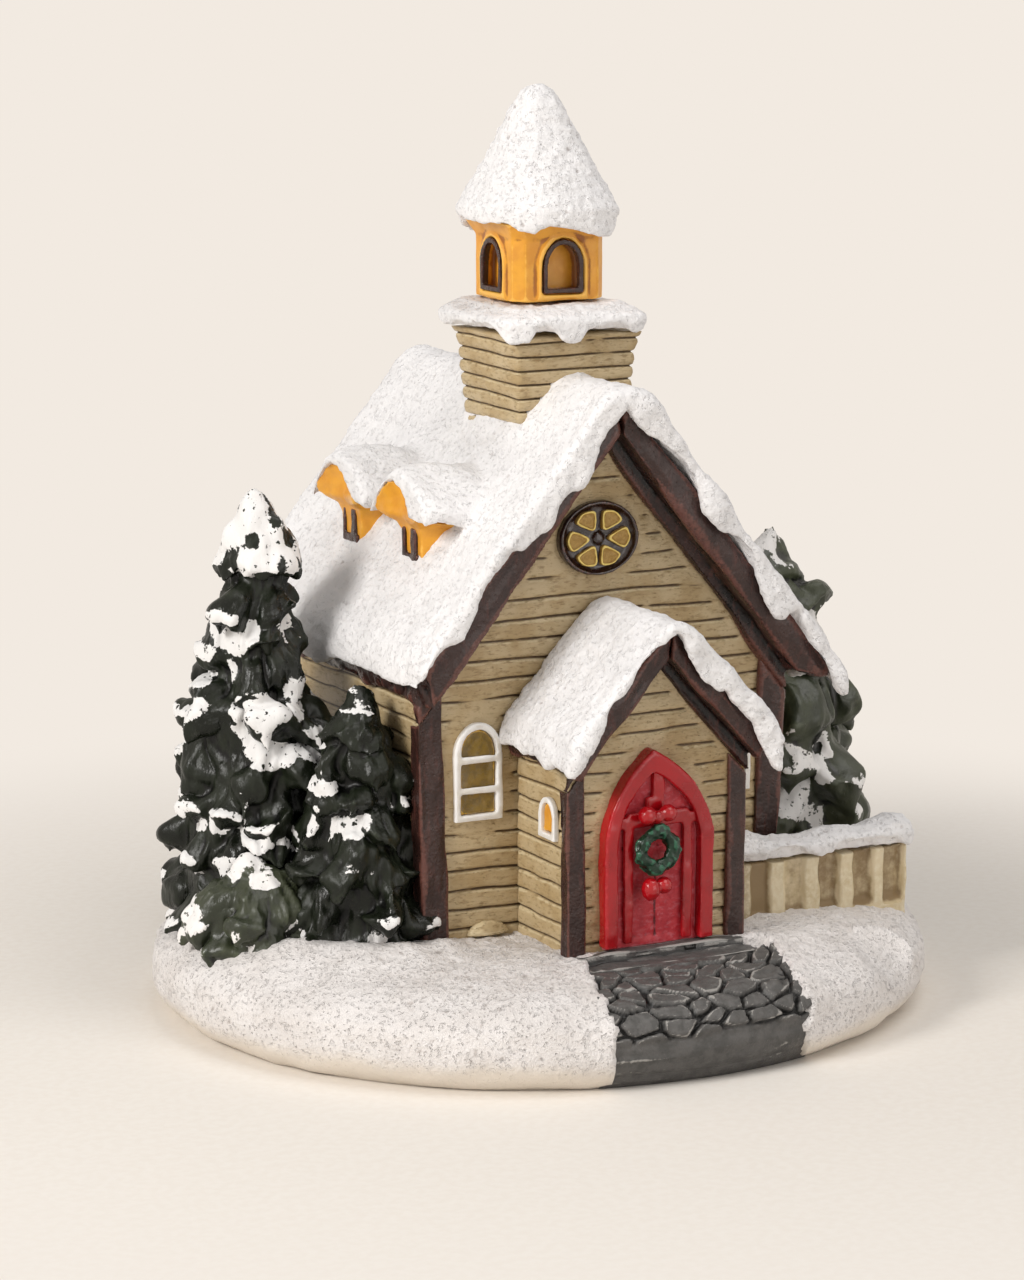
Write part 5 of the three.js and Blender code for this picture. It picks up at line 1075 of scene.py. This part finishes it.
def addGardenWall():
    spec = gardenWall
    foot, seed = spec["z"][0], spec["seed"]
    points, quads = recast([boxShape(spec["x"], spec["y"], spec["z"])], spec["voxel"], 4)
    sunk = np.zeros(len(points))
    sway = 0.25 * drift(points * np.array([0, 0, 1.0]), 3.0, seed)
    for at, half, depth in spec["panels"]:
        away = np.abs(points[:, 0] - at + sway)
        sunk = np.maximum(sunk, depth * (1 - ease(half * 0.72, half * 1.08, away)))
    sunk = sunk * ease(foot + 3.0, foot + 4.2, points[:, 2])
    points[:, 1] -= np.sign(points[:, 1] - sum(spec["y"]) / 2) * sunk
    points[:, 1] += spec["bend"] * ease(spec["bendFrom"], spec["x"][1], points[:, 0])
    points = uneven(points, quads, seed + 1, (3.4, 0.16), (1.2, 0.07))
    # painted shade in the sunk panels, plus darker towards the foot and towards the left end, with a little
    # noise; it feeds the hollow mask
    shadeAndDarkening = 0.62 * ease(0.1, 0.9, sunk) + 0.4 * ease(13.2, 11.4, points[:, 2])
    shadeAndDarkening = shadeAndDarkening + 0.5 * ease(23.4, 21.4, points[:, 0]) + 0.12 * drift(points, 1.5, seed + 3)
    masks = {"hollow": np.clip(shadeAndDarkening, 0, 1), "raised": ease(0.3, 0.0, sunk) * 0.6}
    addPiece("gardenWall", points, quads, "paleStone", ["garden_wall"], masks)


def addGardenWallSnow():
    spec = gardenWallSnow
    columns, middleY = spec["columns"], spec["middleY"]
    x = np.linspace(*spec["x"], columns)
    top, foot = knotValue(x, spec["top"]), knotValue(x, spec["foot"])
    rear = knotValue((x - x[0]) * 0.97 + 16, spec["foot"])
    rows = []
    for k in range(columns):
        end = 1 - 0.55 * max(0.0, 1 - min(k, columns - 1 - k) / 4) ** 2
        middleZ = (top[k] + spec["undersideZ"]) / 2
        shoulder = top[k] - 0.7
        loop = [(-20.0, 19.0), (-20.6, foot[k] + 0.1), (-21.2, foot[k] + 0.5), (-21.3, 20.6),
                (-20.6, shoulder), (middleY, top[k]), (-16.8, shoulder), (-16.1, 20.6),
                (-16.2, rear[k] + 0.5), (-16.8, rear[k] + 0.1), (-17.4, 19.0)]
        rows += [(x[k], middleY + (y - middleY) * end, middleZ + (z - middleZ) * end) for y, z in loop]
    points, quads = recast([(np.array(rows), tubeFaces(columns, len(loop)))], spec["voxel"], 4)
    moved, hollow = snowRelief(points, normalsOf(points, quads), 1.0, spec["seed"])
    addPiece("gardenWallSnow", moved, quads, "snow", ["garden_wall_snow"], {"hollow": hollow})


addTowerSnow()
addGardenWall()
addGardenWallSnow()
print("garden wall made")

# fir trees, built up from drooping clumps
# reach is (height, branch length) up the tree; a lump is (x, y, rings of height and radius)
trees = dict(
    tall=dict(name="treeTallLeft", node="tree_tall_left", x=-34.7, y=9.6, seed=100, voxel=0.36, relax=4,
              reach=((8, 10.5), (11, 13.4), (16, 13.4), (22, 12.3), (34, 10.6), (38, 8.8), (44, 6.4),
                     (55, 4.8)),
              capFoot=56.4, capTop=66.3, capReach=6.0, roundHeight=5.0, width=5.8, spacing=8.3, core=0.78,
              snow=0.95, leanLeft=1.2, frontShare=1.0, finish="foliage", lumps=()),
    short=dict(name="treeShortLeft", node="tree_short_left", x=-28.4, y=-6.2, seed=200, voxel=0.34, relax=4,
               reach=((8, 10.6), (12, 11.0), (20, 8.6), (33, 5.8), (38, 4.2), (41, 3.0)),
               capFoot=40.2, capTop=43.9, capReach=2.5, roundHeight=4.3, width=5.0, spacing=7.3, core=0.74,
               snow=0.7, leanLeft=0.0, frontShare=1.0, finish="foliage",
               lumps=((-25.0, 0.5, ((7, 6.4), (20, 5.6), (31, 4.4), (37, 2.6), (39, 1.0))),)),
    shrub=dict(name="shrubLeft", node="shrub_left", x=-40.2, y=-1.4, seed=300, voxel=0.34, relax=5,
               reach=((8, 7.6), (12, 9.2), (17, 8.4), (20, 5.6)),
               capFoot=19.0, capTop=23.4, capReach=3.4, roundHeight=4.6, width=5.4, spacing=7.8, core=0.8,
               snow=0.8, leanLeft=0.0, frontShare=0.78, finish="foliageOlive", lumps=()),
    right=dict(name="treeRight", node="tree_right", x=36.4, y=4.2, seed=400, voxel=0.38, relax=5,
               reach=((8, 12.8), (14, 13.7), (20, 13.5), (27, 12.6), (33, 11.4), (46, 6.4), (50, 4.4)),
               capFoot=50.0, capTop=56.6, capReach=4.2, roundHeight=7.0, width=7.6, spacing=10.9, core=0.8,
               snow=0.66, leanLeft=0.0, frontShare=1.0, finish="foliageOlive", lumps=()),
)
treeFoot, firstRound = 7.0, 10.4
houseSides = dict(left=-22.75, right=26.6, frontY=-13.2, topZ=44)  # trees stop at the house walls
capRings = ((0.16, 0.93), (0.4, 0.7), (0.66, 0.44), (0.86, 0.26), (0.96, 0.14), (1.0, 0.04))  # height, reach


def branchCurve(t, droop):  # how far the middle of a branch leaves its straight line, in height
    return droop * (1.6 * t * t - np.sin(math.pi * t))


def branchShape(root, tip, width, thick, droop, sides=10, steps=10):
    ahead = tip - root
    length = np.linalg.norm(ahead)
    ahead = ahead / length
    across = np.cross(ahead, [0, 0, 1.0])
    across /= np.linalg.norm(across)
    over = np.cross(across, ahead)
    points = [root.copy()]
    for k in range(1, steps):
        t = k / steps
        taper = max(0.0, 1 - max(0.0, (t - 0.6) / 0.4) ** 1.7)
        swell = (0.7 + 0.3 * ease(0.1, 0.6, t)) * min(1.0, 4 * t) * taper
        middle = root + ahead * length * t + np.array([0, 0, branchCurve(t, droop)])
        for j in range(sides):
            a = 2 * math.pi * j / sides
            points.append(middle + (across * math.cos(a) * width + over * math.sin(a) * thick) * swell)
    points.append(tip)
    last = 1 + (steps - 2) * sides
    faces = [[0, 1 + (j + 1) % sides, 1 + j] for j in range(sides)]
    faces += (ringQuads(steps - 1, sides) + 1).tolist()
    faces += [[last + j, last + (j + 1) % sides, len(points) - 1] for j in range(sides)]
    return np.array(points), faces


def coneShape(x, y, rings, ragged=0.0, seed=0, sides=28):  # rings of (height, radius), closed at both ends
    points = []
    for k, (z, r) in enumerate(rings):
        for j in range(sides):
            a = 2 * math.pi * j / sides
            wave = ragged * scatter(seed + 0.37 * j) if k < 2 else 0
            points.append([x + r * math.cos(a), y + r * math.sin(a), z + wave])
    return np.array(points), tubeFaces(len(rings), sides)


def growBranches(spec, middle):  # rounds of drooping branches: (root, tip, width, thickness, droop, luck)
    branches = []
    seed, high = spec["seed"], spec["roundHeight"]
    tier = 0
    while firstRound + tier * high < spec["capFoot"] - 1.5:
        level = firstRound + tier * high
        count = max(4, int(2 * math.pi * knotValue(level, spec["reach"]) / spec["spacing"] + 0.5))
        for k in range(count):
            a = 2 * math.pi * (k + 0.5 * (tier % 2) + 0.3 * scatter(seed)) / count
            z = level + 0.32 * high * scatter(seed + 1)
            far = knotValue(z, spec["reach"]) * (1.0 + 0.05 * scatter(seed + 2))
            size = spec["width"] * (1 + 0.24 * scatter(seed + 3))
            inner = a + 0.3 * scatter(seed + 4)
            chosen = scatter(seed + 5)
            rootZ = min(z + 1.2 * high, spec["capFoot"])
            root = middle + np.array([far * 0.5 * math.cos(inner), far * 0.5 * math.sin(inner), rootZ])
            tip = middle + np.array([far * math.cos(a), far * math.sin(a), z - 0.3 * high])
            shape = (size * 0.48, size * (0.36 + 0.08 * chosen), 0.8 + 0.5 * chosen)
            branches.append((root, tip, *shape, 0.5 + 0.5 * scatter(seed + 6.5)))
            seed += 6
        tier += 1
    return branches


def treeShapes(spec, branches):  # the branches, a core that fills the gaps, the snowy cap and lumps
    foot, top, wide = spec["capFoot"], spec["capTop"], spec["capReach"]
    x, y = spec["x"], spec["y"]
    heights = np.linspace(treeFoot + 1, foot, 9)
    core = [(treeFoot, knotValue(treeFoot, spec["reach"]) * 0.9)]
    core += [(h, knotValue(h, spec["reach"]) * spec["core"]) for h in heights] + [(foot + 2.0, wide * 0.6)]
    cap = [(foot + 1.0, wide * 0.5), (foot - 0.3, wide * 0.9), (foot + 0.6, wide * 1.0)]
    cap += [(foot + share * (top - foot), wide * out) for share, out in capRings]
    shapes = [branchShape(*branch[:5]) for branch in branches]
    shapes += [coneShape(x, y, core), coneShape(x, y, cap, ragged=0.9, seed=spec["seed"])]
    return shapes + [coneShape(*lump) for lump in spec["lumps"]]


def nearestBranch(points, branches):  # closeness to a branch, how far along it, and that branch's luck
    nearest = np.full(len(points), 9e9)
    length, luck = np.zeros(len(points)), np.zeros(len(points))
    for root, tip, width, thick, droop, chosen in branches:
        line = tip - root
        close = np.abs(points - (root + tip) / 2).max(1) < np.linalg.norm(line) * 0.5 + width + 1.5
        p = points[close]
        t = np.clip((p - root) @ line / (line @ line), 0, 1)
        middle = root + line * t[:, None] + np.array([0, 0, 1.0]) * branchCurve(t, droop)[:, None]
        gap = np.linalg.norm(p - middle, axis=1) / (width * (0.45 + 0.55 * t))
        better = gap < nearest[close]
        where = np.nonzero(close)[0][better]
        nearest[where], length[where], luck[where] = gap[better], t[better], chosen
    return nearest, length, luck


def addTree(spec):
    seed, foot, top, wide = spec["seed"], spec["capFoot"], spec["capTop"], spec["capReach"]
    middle = np.array([spec["x"], spec["y"], 0.0])
    branches = growBranches(spec, middle)
    points, quads = recast(treeShapes(spec, branches), spec["voxel"], spec["relax"])
    sway = [drift(points, 4.5, seed + 20 + k) + 0.5 * drift(points, 2.2, seed + 30 + k) for k in range(3)]
    points = points + np.stack(sway, 1) * np.array([1.1, 1.1, 1.3])
    before = points[:, 1] < spec["y"]
    points[before, 1] = spec["y"] + (points[before, 1] - spec["y"]) * spec["frontShare"]
    points[:, 0] -= spec["leanLeft"] * ease(33, 40, points[:, 2]) * ease(57, 50, points[:, 2])
    beside = (points[:, 1] > houseSides["frontY"]) & (points[:, 2] < houseSides["topZ"])
    if spec["x"] < 0:
        points[beside, 0] = np.minimum(points[beside, 0], houseSides["left"])
    else:
        points[beside, 0] = np.maximum(points[beside, 0], houseSides["right"])
    normals = normalsOf(points, quads)
    nearest, length, luck = nearestBranch(points, branches)
    outward = (points - middle) * np.array([1, 1, 0])
    out = np.linalg.norm(outward, axis=1)
    turn = np.arctan2(outward[:, 1], outward[:, 0])
    outward /= np.maximum(out, 1e-6)[:, None]
    # combed grooves that sweep down each branch
    bend = 2.2 * drift(points, 7.0, seed + 3)
    comb = np.stack([turn * 7.0 + bend, points[:, 2] * 0.22 + out * 0.2, bend], 1)
    strands = drift(comb, 1.0, seed + 4) + 0.5 * drift(comb, 0.45, seed + 5)
    rim = points[:, 2] + 0.9 * drift(points * np.array([1, 1, 0.2]), 1.8, seed + 8)
    onCap = ease(foot - 0.3, foot + 0.5, rim) * (out < wide * 1.15)
    height = 0.42 * strands * (1 - 0.6 * onCap) + 0.22 * drift(points, 2.0, seed + 6)
    points = points + normals * height[:, None]
    # snow dabbed on the tips that look up and out, and streaked over the cap
    facing = ease(0.05, 0.55, 0.8 * normals[:, 2] + 0.5 * (normals * outward).sum(1))
    dab = ease(0.5, 0.82, length) * facing * ease(0.4, 0.55, luck) * spec["snow"] * ease(1.9, 1.2, nearest)
    streaks = 0.56 + 0.6 * drift(points * np.array([1, 1, 0.55]), 1.5, seed + 9)
    # whiter towards the cap's tip; the -x side, facing the key light, gets more snow and the +x side less:
    # painted light and painted shade across the cap
    streaks = streaks + 0.2 * ease(foot + 1, top, points[:, 2]) - 0.16 * outward[:, 0]
    dab = np.maximum(dab * (1 - onCap), onCap * spec["snow"] * streaks)
    thick = ease(0.42, 0.6, dab + 0.3 * drift(points, 1.0, seed + 7))
    points = points + normals * (0.16 * thick)[:, None]
    masks = edgeMasks(points, quads, 8, 0.3)
    masks["snow"] = dab
    addPiece(spec["name"], points, quads, spec["finish"], [spec["node"]], masks)


for spec in trees.values():
    addTree(spec)
print("trees made:", len(trees))

# small castings, each from its plain solid
plainCasting = dict(sides=("",), voxel=0.3, rounds=2, waves=((5.0, 0.1), (1.6, 0.05)), grain=(1, 1, 1),
                    extra=())
post = dict(finish="trim", slot="timber", rounds=3, waves=((4.5, 0.28), (1.5, 0.16), (0.8, 0.07)),
            grain=(1, 1, 0.35))
enamel = dict(finish="redGloss", slot="red_gloss")
whiteBars = dict(finish="whiteFrame", slot="white_paint", sides=("left", "right"))
castings = (  # waves are (size, height) of the noise; extra boxes are melted in
    dict(name="cornerPost", node="corner_post",
         sides=("front_left", "front_right", "rear_left", "rear_right"), **post),
    dict(name="porchPost", node="porch_post", sides=("left", "right"), voxel=0.25, **post),
    dict(name="doorSurround", node="door_surround", voxel=0.22, rounds=9, waves=((3.5, 0.14), (1.3, 0.07)),
         **enamel),
    dict(name="doorLeaf", node="door_leaf", finish="redLeaf", slot="red_leaf", voxel=0.25,
         waves=((3.0, 0.1), (0.8, 0.07)), extra=(((-5.2, 8.2), (-28.0, -27.2), (12.4, 13.2)),),
         stretch=dict(middleX=1.5, footZ=12.7, wider=1.08, taller=1.06)),
    dict(name="doorGlazingBars", node="door_glazing_bars", voxel=0.2, rounds=4,
         waves=((2.0, 0.12), (0.8, 0.05)),
         extra=(((0.8, 2.2), (-28.7, -27.6), (28.0, 34.3)), ((-3.9, 6.9), (-28.6, -27.6), (27.5, 28.9))),
         **enamel),
    dict(name="doorWreath", node="door_wreath", finish="wreath", slot="green", voxel=0.15, rounds=1,
         waves=((1.0, 0.34), (0.5, 0.16))),
    dict(name="wreathBow", node="wreath_bow", voxel=0.15, rounds=3, **enamel),
    dict(name="wreathRibbonTails", node="wreath_ribbon_tails", voxel=0.15, rounds=3, **enamel),
    dict(name="windowFrame", node="window_frame", voxel=0.17, waves=((3.0, 0.08), (1.0, 0.04)), **whiteBars),
    dict(name="windowPanes", node="window_panes", sides=("left", "right"), finish="amberPane",
         slot="amber_pane", voxel=0.2, waves=((1.2, 0.08), (0.5, 0.04))),
    dict(name="porchWindowFrame", node="porch_window_frame", voxel=0.15, waves=((2.0, 0.06), (0.8, 0.03)),
         **whiteBars),
    dict(name="porchWindowPane", node="porch_window_pane", sides=("left", "right"), finish="honey",
         slot="amber_pane", voxel=0.15, waves=((1.2, 0.06),)),
    dict(name="belfryBody", node="belfry", finish="honey", slot="gilt", voxel=0.24, rounds=3),
    dict(name="belfryFrame", node="belfry_window_frame", sides=("front", "right", "rear", "left"),
         finish="trim", slot="timber", voxel=0.15),
    dict(name="wallFootStone", node="wall_foot_stone", finish="siding", slot="siding", voxel=0.25, rounds=4),
)
rosette = dict(
    x=0.9, z=61.1, wide=5.55, tall=4.7, wallY=-13.0, petals=6, sides=72, frameVoxel=0.13, paneVoxel=0.09,
    dish=((1.0, 0.0), (1.0, 1.0), (0.97, 1.32), (0.93, 1.38), (0.91, 1.22), (0.89, 0.95), (0.85, 0.7),
          (0.8, 0.55)),  # share of the size, mm out
    hub=((0.2, 0.8), (0.8, 0.8), (1.1, 0.45)),  # mm out, radius
    # a petal's rings, mm in from its edge and mm out, and its corners, by turn and share of the size
    petal=((0.0, 0.3), (0.0, 1.0), (0.09, 1.16), (0.19, 1.14), (0.32, 0.9), (0.9, 0.94)),
    corners=((0, 0.17), (-0.42, 0.58), (-0.4, 0.76), (0, 0.83), (0.4, 0.76), (0.42, 0.58)),
)


def onWindow(across, up, out):  # points of the rosette, from mm across, up and out of the wall
    return np.stack([rosette["x"] + across, rosette["wallY"] - out, rosette["z"] + up], -1)


def petalShape(turn):  # a rounded wedge, pointed to the hub
    spec = rosette
    corners = [(turn + a, r) for a, r in spec["corners"]]
    outline = np.array([(spec["wide"] * r * math.cos(a), spec["tall"] * r * math.sin(a)) for a, r in corners])
    for k in range(2):  # round the corners off
        following = np.roll(outline, -1, axis=0)
        cuts = [0.8 * outline + 0.2 * following, 0.2 * outline + 0.8 * following]
        outline = np.stack(cuts, 1).reshape(-1, 2)
    middle = outline.mean(0)
    reach = np.linalg.norm(outline - middle, axis=1).min()
    rows = []
    for inward, out in spec["petal"]:
        ring = middle + (outline - middle) * (1 - inward / reach)
        rows.append(onWindow(ring[:, 0], ring[:, 1], np.full(len(ring), out)))
    return np.concatenate(rows), tubeFaces(len(rows), len(outline))


def addRosette():
    spec = rosette
    turn = np.arange(spec["sides"]) * 2 * math.pi / spec["sides"]
    rows = []
    for share, out in spec["dish"]:
        across, up = spec["wide"] * share * np.cos(turn), spec["tall"] * share * np.sin(turn)
        rows.append(onWindow(across, up, np.full(len(turn), out)))
    hub, hubFaces = coneShape(0, 0, spec["hub"])
    hub = onWindow(hub[:, 0], hub[:, 1], hub[:, 2])
    dish = (np.concatenate(rows), tubeFaces(len(rows), len(turn)))
    points, quads = recast([dish, (hub, hubFaces)], spec["frameVoxel"], 3)
    points = uneven(points, quads, 151, (1.8, 0.09), (0.7, 0.05))
    masks = edgeMasks(points, quads, 6, 0.1)
    addPiece("rosetteFrame", points, quads, "rosetteTrim", ["rosette_frame"], masks)
    turns = [k * 2 * math.pi / spec["petals"] + 0.07 * scatter(k + 7) for k in range(spec["petals"])]
    points, quads = recast([petalShape(turn) for turn in turns], spec["paneVoxel"], 1)
    points = uneven(points, quads, 153, (0.5, 0.05))
    lifted = ease(spec["wallY"] - 1.02, spec["wallY"] - 1.13, points[:, 1])
    masks = {"hollow": 0.5 * (1 - lifted), "raised": lifted}
    addPiece("rosettePanes", points, quads, "glitter", ["rosette_panes"], masks)
    print("rosette made:", spec["petals"])


def addCasting(spec, side, seed):
    suffix = "".join(word.title() for word in side.split("_"))
    node = spec["node"] + ("_" + side if side else "")
    shapes = cadShape(node) + [boxShape(*box) for box in spec["extra"]]
    if "stretch" in spec:
        stretch = spec["stretch"]
        for shape, faces in shapes:
            shape[:, 0] = stretch["middleX"] + (shape[:, 0] - stretch["middleX"]) * stretch["wider"]
            shape[:, 2] = stretch["footZ"] + (shape[:, 2] - stretch["footZ"]) * stretch["taller"]
    points, quads = recast(shapes, spec["voxel"], spec["rounds"])
    normals = normalsOf(points, quads)
    for k, (size, amount) in enumerate(spec["waves"]):
        height = amount * drift(points * np.array(spec["grain"]), size, seed + k)
        points = points + normals * height[:, None]
    masks = edgeMasks(points, quads, 6, 0.1)
    addPiece(spec["name"] + suffix, points, quads, spec["finish"], [node], masks)


addRosette()
made = 0
for casting in castings:
    casting = {**plainCasting, **casting}
    for side in casting["sides"]:
        addCasting(casting, side, 200 + 3 * made)
        made += 1
print("small castings made:", made)
